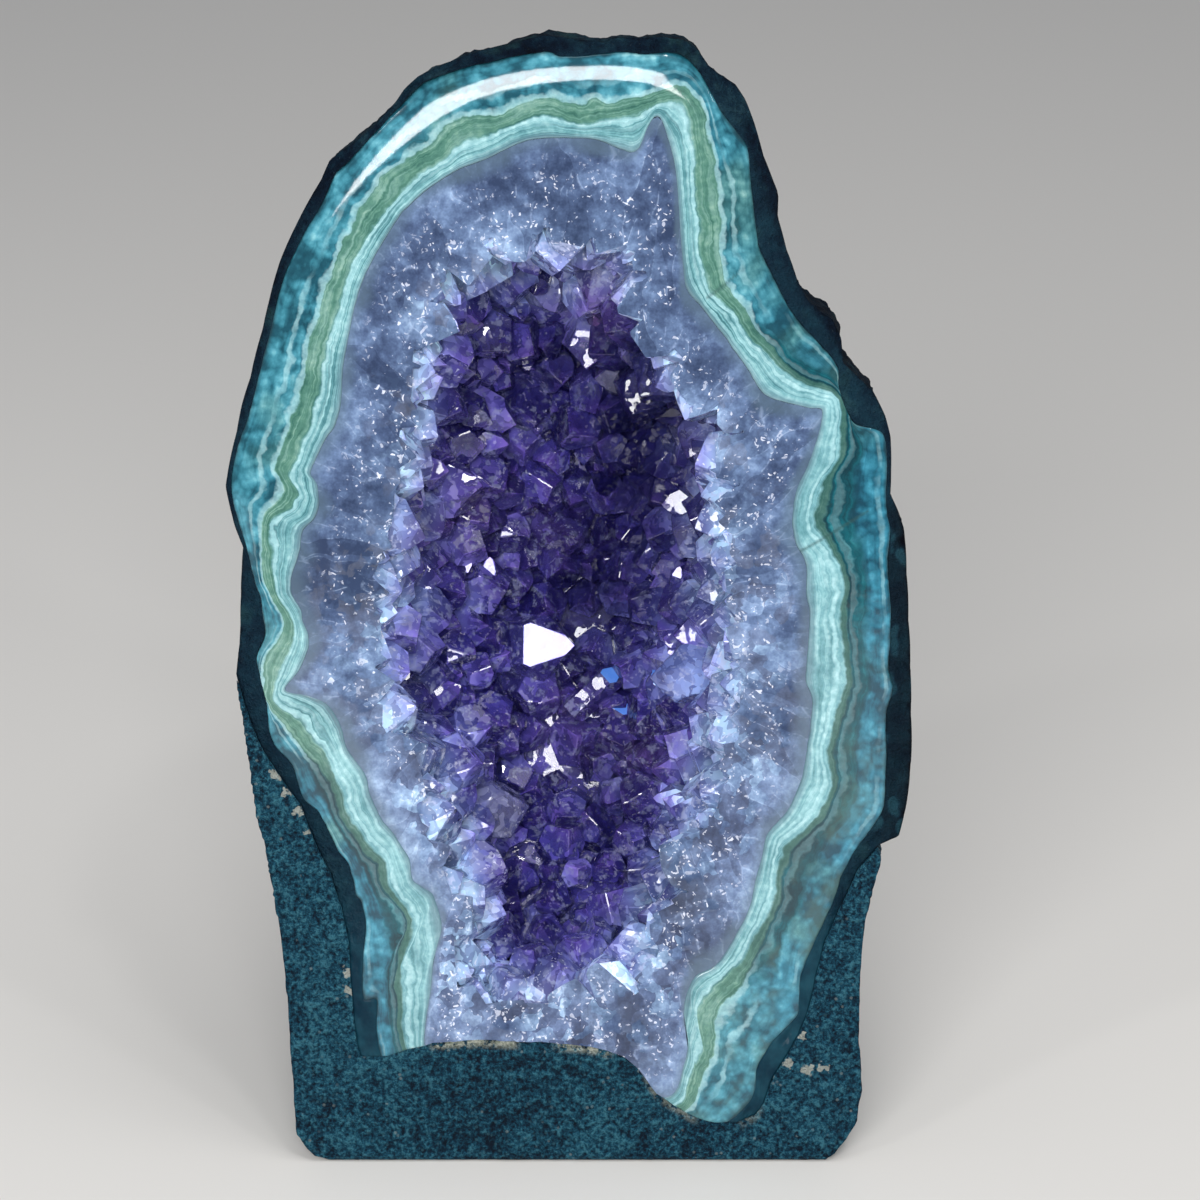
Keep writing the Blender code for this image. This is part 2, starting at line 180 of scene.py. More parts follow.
QUARTZ = [
    (425, 1046), (426, 1021), (431, 989), (434, 959), (441, 933), (441, 920),
    (434, 897), (430, 892), (413, 880), (409, 859), (395, 836), (381, 818),
    (370, 795), (365, 774), (347, 749), (342, 729), (329, 706), (308, 696),
    (285, 690), (299, 671), (308, 650), (308, 633), (303, 621), (301, 610),
    (292, 594), (292, 575), (299, 552), (303, 530), (315, 518), (319, 502),
    (317, 484), (310, 474), (315, 461), (324, 442), (335, 426), (341, 403),
    (343, 369), (349, 334), (356, 302), (365, 275), (384, 241), (402, 213),
    (430, 188), (459, 170), (498, 154), (523, 142), (557, 138), (592, 139),
    (615, 147), (631, 153), (640, 147), (647, 129), (654, 117), (661, 119),
    (668, 138), (674, 161), (678, 195), (681, 241), (686, 287), (702, 308),
    (720, 331), (744, 364), (762, 392), (780, 401), (808, 408), (822, 410),
    (819, 433), (808, 465), (796, 491), (792, 518), (796, 543), (806, 566),
    (806, 594), (810, 612), (808, 646), (806, 680), (812, 701), (808, 742),
    (801, 779), (787, 811), (767, 834), (762, 857), (755, 882), (750, 906),
    (737, 933), (718, 963), (695, 977), (685, 1000), (684, 1021),
    (688, 1044), (684, 1064), (669, 1096), (600, 1092), (500, 1086),
    (436, 1076),
]
CAVITY = [
    (455, 1012), (446, 950), (440, 905), (418, 855), (398, 812), (376, 762),
    (352, 716), (352, 672), (360, 632), (352, 590), (360, 545), (372, 500),
    (380, 450), (392, 390), (404, 330), (424, 275), (452, 236), (500, 214),
    (552, 206), (602, 214), (640, 232), (655, 268), (668, 312), (700, 352),
    (742, 392), (764, 428), (756, 470), (748, 510), (758, 560), (762, 610),
    (762, 680), (756, 740), (738, 800), (716, 856), (694, 915), (664, 968),
    (640, 1010), (600, 1024), (540, 1026), (490, 1024),
]
CEMENT_TOP = [
    (150, 1057), (375, 1057), (388, 1056), (402, 1051), (432, 1044),
    (450, 1042), (467, 1041), (488, 1040), (512, 1042), (535, 1042),
    (558, 1044), (582, 1046), (604, 1050), (624, 1057), (632, 1063),
    (640, 1071), (648, 1083), (656, 1094), (670, 1103), (680, 1109),
    (689, 1115), (707, 1122), (722, 1123), (739, 1122), (750, 1118),
    (762, 1112), (1020, 1112),
]
FOOT_LEFT = [
    (330, 1164), (311, 1157), (300, 1146), (295, 1135), (291, 1101),
    (289, 1062), (286, 1021), (283, 975), (277, 936), (271, 901), (265, 865),
    (261, 841), (253, 818), (249, 784), (244, 749), (239, 715), (234, 680),
]
FOOT_RIGHT = [
    (826, 1163), (838, 1154), (850, 1140), (859, 1122), (864, 1090),
    (861, 1044), (863, 975), (866, 940), (868, 920), (873, 898), (878, 880),
    (884, 858), (872, 836),
]

CRACKS = [[(790, 557), (819, 541), (868, 511)], [(707, 298), (722, 287), (736, 275)]]

MIDDLE = sheet(585, 610)

# the front elevation's station, and the big soft light
PITCH = LEAN + SHEET_TILT
EYE = (np.array([-MID_X, FOOT_Y + FOOT_V * SIN, FOOT_V * COS])
       + SHEET_DIST * np.array([0.0, -math.cos(PITCH), math.sin(PITCH)]))
WINDOW = np.array([-0.22, -1.80, 0.93])
UP = np.array([0.0, math.sin(PITCH), math.cos(PITCH)])
AHEAD = np.array([0.0, math.cos(PITCH), -math.sin(PITCH)])


def sight(px, py):
    """Direction in which the front elevation shows a point."""
    d = (np.array([1.0, 0, 0]) * (px - SHEET_MID) * SHEET_UNIT + UP * (SHEET_MID - py) * SHEET_UNIT
         + AHEAD * SHEET_DIST)
    return d / np.linalg.norm(d)


def seen(P):
    """Where the front elevation shows points of the row frame."""
    rel = P - EYE
    far = rel @ AHEAD
    k = SHEET_DIST / far / SHEET_UNIT
    return SHEET_MID + rel[..., 0] * k, SHEET_MID - (rel @ UP) * k


def behind_face(px, py, w):
    """The point seen at (px, py) that lies w behind the sawn face, in face coordinates."""
    d = sight(px, py)
    e = np.array(local(EYE))
    dl = np.array([d[0], d[1] * COS - d[2] * SIN, d[1] * SIN + d[2] * COS])
    return e + dl * ((w - e[1]) / dl[1])
TAU = math.tau
random.seed(5)


# -------------------------------------------------------------------- noise
def lattice(ix, iy, iz, seed):
    h = (ix * 374761393 + iy * 668265263 + iz * 2147483647 + seed * 1274126177) & 0xFFFFFFFF
    h = ((h ^ (h >> 13)) * 1274126177) & 0xFFFFFFFF
    return ((h ^ (h >> 16)) & 0xFFFF) / 32767.5 - 1.0


def grain(P, scale, seed=0, octaves=1, gain=0.5):
    """Smooth value noise in -1..1 at points P (n, 3); scale in cells a metre."""
    P = np.asarray(P, np.float64)
    total, size, norm = np.zeros(len(P)), 1.0, 0.0
    for o in range(octaves):
        q = P * scale * 2.0 ** o + 17.3 * (o + 1)
        i = np.floor(q).astype(np.int64)
        f = q - i
        f = f * f * (3 - 2 * f)
        acc = np.zeros(len(P))
        for dx in (0, 1):
            wx = f[:, 0] if dx else 1 - f[:, 0]
            for dy in (0, 1):
                wy = f[:, 1] if dy else 1 - f[:, 1]
                for dz in (0, 1):
                    wz = f[:, 2] if dz else 1 - f[:, 2]
                    acc += wx * wy * wz * lattice(i[:, 0] + dx, i[:, 1] + dy, i[:, 2] + dz, seed + 31 * o)
        total += acc * size
        norm += size
        size *= gain
    return total / norm


def step(x, a, b):
    t = np.clip((x - a) / (b - a), 0.0, 1.0)
    return t * t * (3 - 2 * t)


# ----------------------------------------------------------------- polar form
def bearing(uv):
    """Clockwise angle round the middle line, from straight down."""
    d = uv - MIDDLE
    return np.mod(np.arctan2(-d[..., 0], -d[..., 1]), TAU)


class Ring:
    """A closed outline as a radius for each bearing."""

    def __init__(self, points, wobble=0.0, seed=0, soft=True):
        pts = np.array([sheet(*p) for p in points])
        n = len(pts)
        if soft:
            fine = []
            for i in range(n):
                p0, p1, p2, p3 = pts[i - 1], pts[i], pts[(i + 1) % n], pts[(i + 2) % n]
                for t in np.linspace(0, 1, 14, endpoint=False):
                    a, b = p1, p2
                    m1, m2 = (p2 - p0) * 0.42, (p3 - p1) * 0.42
                    fine.append((2 * t ** 3 - 3 * t ** 2 + 1) * a + (t ** 3 - 2 * t ** 2 + t) * m1
                                + (-2 * t ** 3 + 3 * t ** 2) * b + (t ** 3 - t ** 2) * m2)
            pts = np.array(fine)
        a = bearing(pts)
        start = int(np.argmin(a))
        pts, a = np.roll(pts, -start, axis=0), np.roll(a, -start)
        a = np.maximum.accumulate(a + np.arange(len(a)) * 1e-9)
        r = np.linalg.norm(pts - MIDDLE, axis=1)
        if wobble:
            arc = np.concatenate([[0], np.cumsum(np.linalg.norm(np.diff(pts, axis=0), axis=1))])
            r = r + wobble * grain(np.stack([arc, arc * 0 + seed, arc * 0], 1), 260, seed, 3, 0.6)
        self.a = np.concatenate([[a[-1] - TAU], a, [a[0] + TAU]])
        self.r = np.concatenate([[r[-1]], r, [r[0]]])

    def __call__(self, a):
        return np.interp(np.mod(a, TAU), self.a, self.r)

    def xy(self, a, share=1.0):
        r = self(a) * share
        return MIDDLE[0] - r * np.sin(a), MIDDLE[1] - r * np.cos(a)


rind_ring = Ring(RIND, 0.00045, 3, soft=False)
agate_ring = Ring(AGATE, 0.00034, 4)
green_ring = Ring(GREEN, 0.0004, 5)
white_ring = Ring(WHITE, 0.00036, 6)
quartz_ring = Ring(QUARTZ, 0.0003, 7)
cavity_ring = Ring(CAVITY)


def swell(depth, w, power):
    return np.sqrt(np.maximum(1.0 - np.clip(np.maximum(w, 0) / depth, 0, 1) ** power, 0.0))


# How far the polished face is rounded over near its rim.
rim_a = np.linspace(0, TAU, 2600, endpoint=False)
rim_r = Ring(RIND)(rim_a)
window = np.hanning(181)
window /= window.sum()
rim_r = np.convolve(np.concatenate([rim_r[-90:], rim_r, rim_r[:90]]), window, "valid")
rim_u, rim_v = MIDDLE[0] - rim_r * np.sin(rim_a), MIDDLE[1] - rim_r * np.cos(rim_a)
rim_tree = KDTree(len(rim_a))
for i, (a, b) in enumerate(zip(rim_u, rim_v)):
    rim_tree.insert((a, b, 0), i)
rim_tree.balance()


def rim_distance(u, v):
    d = np.array([rim_tree.find((a, b, 0))[2] for a, b in zip(u, v)])
    uv = np.stack([u, v], 1)
    inside = np.linalg.norm(uv - MIDDLE, axis=1) < np.interp(bearing(uv), rim_a, rim_r)
    return np.where(inside, d, 0.0)


def round_over(u, v):
    """Depth of the rounded polished rim below the flat of the face."""
    d = rim_distance(u, v)
    a = bearing(np.stack([u, v], 1))
    top = np.exp(-((a - math.radians(172)) / math.radians(48)) ** 2)
    reach = 0.0055 + 0.0060 * top
    deep = 0.0012 + 0.0020 * top
    low = step(v, 0.045, 0.075)      # square at the foot
    return deep * low * np.clip(1 - d / reach, 0, 1) ** 2


# ---------------------------------------------------------------- mesh makers
body = bpy.context.scene.collection
shown = bpy.data.collections.new("pieces")
helpers = bpy.data.collections.new("helpers")
body.children.link(shown)
body.children.link(helpers)


def mesh_object(name, verts, faces, helper=False):
    mesh = bpy.data.meshes.new(name)
    mesh.from_pydata(np.asarray(verts, np.float32).tolist() if not isinstance(verts, list) else verts, [], faces)
    obj = bpy.data.objects.new(name, mesh)
    (helpers if helper else shown).objects.link(obj)
    return obj


def ring_faces(rows, n, first_pole, last_pole):
    """Faces of a closed stack of rows of n points, with a fan at each end."""
    i = np.arange(n)
    j = (i + 1) % n
    out = [np.stack([np.full(n, first_pole), j, i], 1)]
    for r in range(rows - 1):
        a, b = r * n, (r + 1) * n
        out.append(np.stack([a + i, a + j, b + j], 1))
        out.append(np.stack([a + i, b + j, b + i], 1))
    a = (rows - 1) * n
    out.append(np.stack([a + i, a + j, np.full(n, last_pole)], 1))
    return np.concatenate(out)


def closed_stack(name, rows, first, last, helper=False, flip=False):
    n = len(rows[0])
    verts = np.concatenate(rows + [np.array([first]), np.array([last])])
    faces = ring_faces(len(rows), n, len(verts) - 2, len(verts) - 1)
    if flip:
        faces = faces[:, ::-1]
    return mesh_object(name, verts, faces.tolist(), helper)


def baked(obj, cutters=(), keep_largest=True, solver="MANIFOLD"):
    """Cuts an object with each cutter in turn and keeps its largest body."""
    for c in cutters:
        mod = obj.modifiers.new("cut", "BOOLEAN")
        mod.operation = "DIFFERENCE"
        mod.object = c
        mod.solver = solver
    bpy.context.view_layer.update()
    graph = bpy.context.evaluated_depsgraph_get()
    mesh = bpy.data.meshes.new_from_object(obj.evaluated_get(graph))
    obj.modifiers.clear()
    if keep_largest:
        n = len(mesh.vertices)
        edges = np.empty(len(mesh.edges) * 2, np.int32)
        mesh.edges.foreach_get("vertices", edges)
        edges = edges.reshape(-1, 2)
        lab = np.arange(n)
        while True:
            low = np.minimum(lab[edges[:, 0]], lab[edges[:, 1]])
            new = lab.copy()
            np.minimum.at(new, edges[:, 0], low)
            np.minimum.at(new, edges[:, 1], low)
            new = new[new]
            if (new == lab).all():
                break
            lab = new
        names, counts = np.unique(lab, return_counts=True)
        if len(names) > 1:
            best = names[np.argmax(counts)]
            bm = bmesh.new()
            bm.from_mesh(mesh)
            bm.verts.ensure_lookup_table()
            bmesh.ops.delete(bm, geom=[bm.verts[int(i)] for i in np.where(lab != best)[0]], context="VERTS")
            bm.to_mesh(mesh)
            bm.free()
    mesh.materials.clear()
    mesh.polygons.foreach_set("material_index", np.zeros(len(mesh.polygons), np.int32))
    old = obj.data
    obj.data = mesh
    mesh.name = old.name
    bpy.data.meshes.remove(old)
    return obj


def points_of(mesh):
    co = np.empty(len(mesh.vertices) * 3, np.float32)
    mesh.vertices.foreach_get("co", co)
    return co.reshape(-1, 3).astype(np.float64)


def kept_in(obj):
    """Keeps the relief inside the solid part's box."""
    P = np.clip(points_of(obj.data), np.array(CAD_BOX[0]) + 2e-5, np.array(CAD_BOX[1]) - 2e-5)
    P[:, 2] = np.where(P[:, 2] < 3e-5, 0.0, P[:, 2])
    obj.data.vertices.foreach_set("co", P.astype(np.float32).ravel())
    obj.data.update()


def put(mesh, name, values, domain="POINT"):
    att = mesh.attributes.get(name) or mesh.attributes.new(name, "FLOAT", domain)
    att.data.foreach_set("value", np.asarray(values, np.float32))


def dome_rows(ring, depth, n, count, power, start_w=0.0, end=0.985, shift=0.0, share=None):
    """Rows of a dome from the face to near its pole."""
    a = np.linspace(0, TAU, n, endpoint=False)
    out = []
    for k in range(count):
        w = start_w + (depth * end - start_w) * math.sin(math.pi / 2 * ((k + 0.0) / (count - 1)) ** 0.92)
        s = swell(depth, w, power)
        u, v = ring.xy(a, s)
        out.append(world(u, np.full(n, w), v))
    return out


def slab(lift, name, rough=0.0):
    """Everything under the cement's top edge, run straight back."""
    top = np.array([sheet(*p) for p in CEMENT_TOP])
    xs = np.concatenate([[top[0, 0]], np.arange(-0.062, 0.062, 0.0011), [top[-1, 0]]])
    vs = np.interp(xs, top[:, 0], top[:, 1]) + lift
    if rough:
        inside = (xs > top[1, 0] + 0.002) & (xs < top[-2, 0] - 0.002)
        g = grain(np.stack([xs, xs * 0, xs * 0], 1), 420, 9, 3, 0.6)
        vs = vs + rough * g * inside
    line = list(zip(xs, vs)) + [(xs[-1], -0.06), (xs[0], -0.06)]
    n = len(line)
    near = [world(np.float64(u), np.float64(-0.03), np.float64(v)).tolist() for u, v in line]
    far = [world(np.float64(u), np.float64(0.16), np.float64(v)).tolist() for u, v in line]
    faces = [list(range(n))[::-1], list(range(n, 2 * n))]
    for i in range(n):
        j = (i + 1) % n
        faces.append([i, j, j + n, i + n])
    obj = mesh_object(name, near + far, faces, helper=True)
    bm = bmesh.new()
    bm.from_mesh(obj.data)
    bmesh.ops.recalc_face_normals(bm, faces=bm.faces[:])
    bmesh.ops.triangulate(bm, faces=bm.faces[:])
    bm.to_mesh(obj.data)
    bm.free()
    return obj


bed = slab(0.0, "bed", 0.0004)
under = slab(GAP, "under", 0.0004)

# The saw's cut, as a block in front of the face.
c = [world(np.float64(u), np.float64(w), np.float64(v)).tolist()
     for v in (-0.2, 0.5) for w in (-0.3, 0.0) for u in (-0.4, 0.4)]
saw = mesh_object("saw", c, [[0, 1, 3, 2], [4, 6, 7, 5], [0, 4, 5, 1], [2, 3, 7, 6], [0, 2, 6, 4], [1, 5, 7, 3]], helper=True)
bm = bmesh.new(); bm.from_mesh(saw.data)
bmesh.ops.recalc_face_normals(bm, faces=bm.faces[:])
bm.to_mesh(saw.data); bm.free()


# ============================================================= the basalt rind
def lump_of(flat_u, w, flat_v):
    return np.array([noise.noise(Vector((a * 38, b * 38, c * 38))) for a, b, c in zip(flat_u, w, flat_v)])


class Between:
    """The agate's outline, kept inside the crust's."""

    def __call__(self, a):
        return np.minimum(agate_ring(a), rind_ring(a) - 0.0009)

    def xy(self, a, scale=1.0):
        r = self(a) * scale
        return MIDDLE[0] - r * np.sin(a), MIDDLE[1] - r * np.cos(a)


agate_wall = Between()


def rind_piece():
    n = 800
    a = np.linspace(0, TAU, n, endpoint=False)
    rows = []
    # inner wall, from the pole out to the face
    inner = dome_rows(agate_wall, AGATE_DEPTH + GAP, n, 9, 2.4, start_w=0.0012)
    rows += inner[::-1]
    # the crust on the face
    r4, r5 = agate_ring(a) + GAP, rind_ring(a)
    r4 = np.minimum(r4, r5 - 0.00035)
    for k, t in enumerate(np.linspace(0, 1, 9)):
        r = r4 + (r5 - r4) * t
        u, v = MIDDLE[0] - r * np.sin(a), MIDDLE[1] - r * np.cos(a)
        w = round_over(u, v)
        P = np.stack([u, v, u * 0], 1)
        chip = np.clip(grain(P, 300, 12, 3, 0.6) - 0.02, 0, 1) * 0.0016 + np.clip(grain(P, 900, 13, 2), 0, 1) * 0.0004
        w = w + chip * step(np.full(n, t), 0.05, 0.5) + 0.0004 * t ** 4
        rows.append(world(u, w, v))
    # the natural outside
    start = w.copy()
    count = 92
    for k in range(1, count):
        x = (k / count) ** 1.05
        w0 = start * (1 - x) + RIND_DEPTH * 0.992 * math.sin(math.pi / 2 * x) * 1.0
        s = swell(RIND_DEPTH, w0, 2.4)
        r = rind_ring(a) * s
        # the outline's own detail fades towards the back
        u, v = MIDDLE[0] - r * np.sin(a), MIDDLE[1] - r * np.cos(a)
        rise = LUMP * np.minimum(np.maximum(w0 - 0.004, 0) / 0.02, 1) * (0.5 + 0.5 * lump_of(u, w0, v))
        reach = rise * np.maximum(s, 0.25)
        P = np.stack([u, w0, v], 1)
        rough = (grain(P, 130, 21, 4, 0.55) * 0.0016 + np.abs(grain(P, 420, 22, 3, 0.6)) * 0.0013)
        rough = (rough + 0.0012) * step(w0 - start, -0.0012, 0.004)
        w1 = w0 + rise * (1 - s) - rough * (1 - s)
        out = r + reach - rough * np.sqrt(np.maximum(1 - (1 - s) ** 2, 0))
        out = np.maximum(out, agate_wall(a) * swell(AGATE_DEPTH + GAP, np.clip(w1, 0, AGATE_DEPTH), 2.4) + 0.0007)
        u, v = MIDDLE[0] - out * np.sin(a), MIDDLE[1] - out * np.cos(a)
        rows.append(world(u, w1, v))
    first = world(*[np.float64(x) for x in (MIDDLE[0], AGATE_DEPTH + GAP, MIDDLE[1])])
    last = world(*[np.float64(x) for x in (MIDDLE[0], RIND_DEPTH, MIDDLE[1])])
    obj = baked(closed_stack("basalt_crust", rows, first, last), [under])
    kept_in(obj)
    P = points_of(obj.data)
    u, w, v = local(P)
    a = bearing(np.stack([u, v], 1))
    low = np.clip(step(v, 0.075, 0.050) + step(a, 5.6, 6.2) * 0.3, 0, 1)
    put(obj.data, "polish", step(w, 0.0022, 0.0008) * (0.35 + 0.65 * low))
    sx, sy = seen(P)
    put(obj.data, "chips", step(sx, 866, 878) * step(sy, 495, 515) * step(sy, 850, 820) * step(w, 0.006, 0.003))
    return obj


# ================================================================ the agate
def agate_piece():
    n = 1100
    a = np.linspace(0, TAU, n, endpoint=False)
    rows = dome_rows(quartz_ring, DRUSE_DEPTH + GAP, n, 7, 2.4, start_w=0.0012)[::-1]
    r1 = quartz_ring(a) + GAP
    r4 = np.minimum(agate_ring(a), rind_ring(a) - 0.00045)
    m = 46
    for t in np.linspace(0, 1, m):
        r = r1 + (r4 - r1) * t
        u, v = MIDDLE[0] - r * np.sin(a), MIDDLE[1] - r * np.cos(a)
        rows.append(world(u, round_over(u, v), v))
    tail = dome_rows(agate_wall, AGATE_DEPTH, n, 8, 2.4, start_w=0.0045)
    rows += tail
    first = world(*[np.float64(x) for x in (MIDDLE[0], DRUSE_DEPTH + GAP, MIDDLE[1])])
    last = world(*[np.float64(x) for x in (MIDDLE[0], AGATE_DEPTH, MIDDLE[1])])
    obj = baked(closed_stack("banded_agate", rows, first, last), [under])
    P = points_of(obj.data)
    u, w, v = local(P)
    uv = np.stack([u, v], 1)
    al = bearing(uv)
    r = np.linalg.norm(uv - MIDDLE, axis=1)
    s1 = swell(DRUSE_DEPTH, w, 2.4)
    c = [quartz_ring(al), white_ring(al), green_ring(al), np.minimum(agate_ring(al), rind_ring(al) - 0.00045)]
    for i in range(1, 4):
        c[i] = np.maximum(c[i], c[i - 1] + 0.0006)
    t = np.zeros(len(P))
    for i in range(3):
        t = np.where(r > c[i], i + np.clip((r - c[i]) / (c[i + 1] - c[i]), 0, 1), t)
    t = np.where(w > 0.008, 2.9, t)
    put(obj.data, "band", t)
    # length along the band, from a smooth outline between its edges
    fine = np.linspace(0, TAU, 4000)
    mid = (quartz_ring(fine) + agate_ring(fine)) / 2
    k = np.ones(61) / 61
    mid = np.convolve(np.concatenate([mid[-31:-1], mid, mid[1:31]]), k, "valid")
    x, y = mid * np.sin(fine), mid * np.cos(fine)
    arc = np.concatenate([[0], np.cumsum(np.hypot(np.diff(x), np.diff(y)))])
    put(obj.data, "along", np.interp(al, fine, arc))
    right = np.clip(step(al, 3.55, 3.95) * step(al, 5.95, 5.75), 0, 1)
    low_left = step(al, 0.10, 0.3) * step(al, 1.15, 0.95) * 0.85
    put(obj.data, "side", np.clip(right + low_left, 0, 1))
    put(obj.data, "ochre", step(al, 5.05, 5.3) * step(t, 1.9, 2.2))
    cut = np.full(len(P), 1.0)
    for path in CRACKS:
        q = np.array([sheet(*p) for p in path])
        for p0, p1 in zip(q[:-1], q[1:]):
            d = p1 - p0
            f = np.clip(((uv - p0) @ d) / (d @ d), 0, 1)
            cut = np.minimum(cut, np.linalg.norm(uv - p0 - f[:, None] * d, axis=1))
    put(obj.data, "crack", step(cut, 0.00055, 0.0001) * (w < 0.004))
    return obj


# =============================================================== the crystals
def half_planes(radius, tip, root, rng, even=False):
    """Outward normals and distances of a quartz point: six prism, three major and three minor faces."""
    normals, offs = [], []
    loose = 0.0 if even else 1.0
    for k in range(6):
        f = math.radians(60 * k + rng.uniform(-2, 2) * loose)
        normals.append((math.cos(f), math.sin(f), 0.0))
        offs.append(radius * rng.uniform(0.80, 1.0))
    slope = math.radians(51.8)
    z_cut = rng.uniform(0.10, 0.75)
    for k in range(6):
        f = math.radians(60 * k + rng.uniform(-1.5, 1.5) * loose)
        n = (math.sin(slope) * math.cos(f), math.sin(slope) * math.sin(f), math.cos(slope))
        high = tip + (radius * z_cut * rng.uniform(0.7, 1.3) if k % 2 else radius * rng.uniform(-0.12, 0.12))
        if even:
            high = tip + (radius * 0.14 if k % 2 else (-radius * 0.10 if k == 0 else 0.0))
        normals.append(n)
        offs.append(high * math.cos(slope))
    normals.append((0.0, 0.0, -1.0))
    offs.append(root)
    return np.array(normals), np.array(offs)


TRIPLES = np.array([(i, j, k) for i in range(13) for j in range(i + 1, 13) for k in range(j + 1, 13)])


def convex(normals, offs):
    """Corners and ordered faces of the convex body n.x <= d."""
    A = normals[TRIPLES]
    det = np.linalg.det(A)
    ok = np.abs(det) > 1e-4
    pts = np.linalg.solve(A[ok], offs[TRIPLES][ok][..., None])[..., 0]
    scale = np.abs(offs).max()
    inside = (pts @ normals.T <= offs + scale * 1e-6).all(axis=1)
    pts = pts[inside]
    corners = []
    for p in pts:
        if all(np.abs(p - q).max() > scale * 2e-4 for q in corners):
            corners.append(p)
    corners = np.array(corners)
    faces = []
    for n, d in zip(normals, offs):
        on = np.where(np.abs(corners @ n - d) < scale * 6e-4)[0]
        if len(on) < 3:
            continue
        mid = corners[on].mean(axis=0)
        x = corners[on[0]] - mid
        x /= np.linalg.norm(x)
        y = np.cross(n, x)
        ang = np.arctan2((corners[on] - mid) @ y, (corners[on] - mid) @ x)
        faces.append([int(on[i]) for i in np.argsort(ang)])
    return corners, faces


def point_mesh(bm, normals, offs, pose, edge):
    """Adds one quartz point, its edges slightly worn, in its place. Says whether it closed."""
    corners, faces = convex(normals, offs)
    one = bmesh.new()
    vs = [one.verts.new(p) for p in corners]
    try:
        for f in faces:
            one.faces.new([vs[i] for i in f])
    except ValueError:
        one.free()
        return False
    if any(not e.is_manifold for e in one.edges) or any(not v.link_faces for v in one.verts):
        one.free()
        return False
    if edge > 0:
        short = min(e.calc_length() for e in one.edges)
        picked = [e for e in one.edges if e.calc_length() > edge * 2.2]
        bmesh.ops.bevel(one, geom=picked, offset=edge, segments=1, profile=0.5, affect="EDGES", clamp_overlap=True)
    bmesh.ops.transform(one, matrix=pose, verts=one.verts[:])
    base = [bm.verts.new(v.co) for v in one.verts]
    one.verts.index_update()
    for f in one.faces:
        bm.faces.new([base[v.index] for v in f.verts])
    one.free()
    return True


def cavity_at(alpha, lift):
    """A point of the root surface of the crystals and its inward normal."""
    def at(al, li):
        w = CAVITY_DEPTH * math.sin(math.pi / 2 * min(max(li, -0.4), 0.999))
        s = float(swell(CAVITY_DEPTH, w, 2.2))
        r = float(cavity_ring(al)) * s
        return np.array([MIDDLE[0] - r * math.sin(al), w, MIDDLE[1] - r * math.cos(al)])
    p = at(alpha, lift)
    du = at(alpha + 0.02, lift) - at(alpha - 0.02, lift)
    dv = at(alpha, min(lift + 0.02, 0.99)) - at(alpha, lift - 0.02)
    n = np.cross(du, dv)
    n /= np.linalg.norm(n) + 1e-12
    aim = np.array([MIDDLE[0], CAVITY_DEPTH * 0.3, MIDDLE[1]]) - p
    if n @ aim < 0:
        n = -n
    return p, n


def grow(rng):
    """Places, sizes and axes of every crystal, in face coordinates (across, behind, up)."""
    made = []
    grid = {}

    def free(p, r, spread):
        key = tuple((p // 0.012).astype(int))
        for dx in (-1, 0, 1):
            for dy in (-1, 0, 1):
                for dz in (-1, 0, 1):
                    for q, rq in grid.get((key[0] + dx, key[1] + dy, key[2] + dz), ()):
                        if np.linalg.norm(p - q) < spread * (r + rq):
                            return False
        return True

    def add(p, r):
        grid.setdefault(tuple((p // 0.012).astype(int)), []).append((p, r))

    def sow(tries, lo, hi, spread, most, reach, lift_range, tilt, forward=0.0):
        count = 0
        for _ in range(tries):
            al = rng.random() * TAU
            li = lift_range[0] + (lift_range[1] - lift_range[0]) * rng.random()
            w = CAVITY_DEPTH * math.sin(math.pi / 2 * max(li, 0))
            if rng.random() > float(swell(CAVITY_DEPTH, w, 2.2)) + 0.08:
                continue
            r = lo + (hi - lo) * rng.random() ** 1.4
            p, n = cavity_at(al, li)
            if not free(p, r, spread):
                continue
            add(p, r)
            axis = n + np.array([rng.uniform(-tilt, tilt) for _ in range(3)])
            axis[1] -= forward * rng.uniform(0.6, 1.2)
            axis /= np.linalg.norm(axis)
            made.append(dict(p=p, axis=axis, r=r, tip=r * rng.uniform(*reach), turn=rng.uniform(0, TAU),
                             lift=max(li, 0.0)))
            count += 1
            if count >= most:
                break

    sow(9000, 0.0056, 0.0088, 0.66, 60, (1.7, 2.5), (0.10, 0.42), 0.20, 0.75)   # big points that lean out of the mouth
    sow(9000, 0.0050, 0.0078, 0.62, 80, (1.5, 2.3), (-0.10, 0.30), 0.22, 0.25)  # those along its edge
    sow(12000, 0.0046, 0.0074, 0.68, 210, (1.5, 2.2), (0.10, 1.0), 0.32)        # the general cover
    sow(12000, 0.0026, 0.0046, 0.62, 330, (1.7, 2.6), (-0.08, 1.0), 0.42, 0.15) # small ones between
    return made


def wall_depth(px, py):
    """How far behind the face the root surface of the crystals lies, seen at (px, py)."""
    for w in np.arange(0.0, CAVITY_DEPTH, 0.0005):
        p = behind_face(px, py, w)
        uv = p[[0, 2]]
        if np.linalg.norm(uv - MIDDLE) > cavity_ring(bearing(uv)) * swell(CAVITY_DEPTH, w, 2.2):
            return w
    return CAVITY_DEPTH


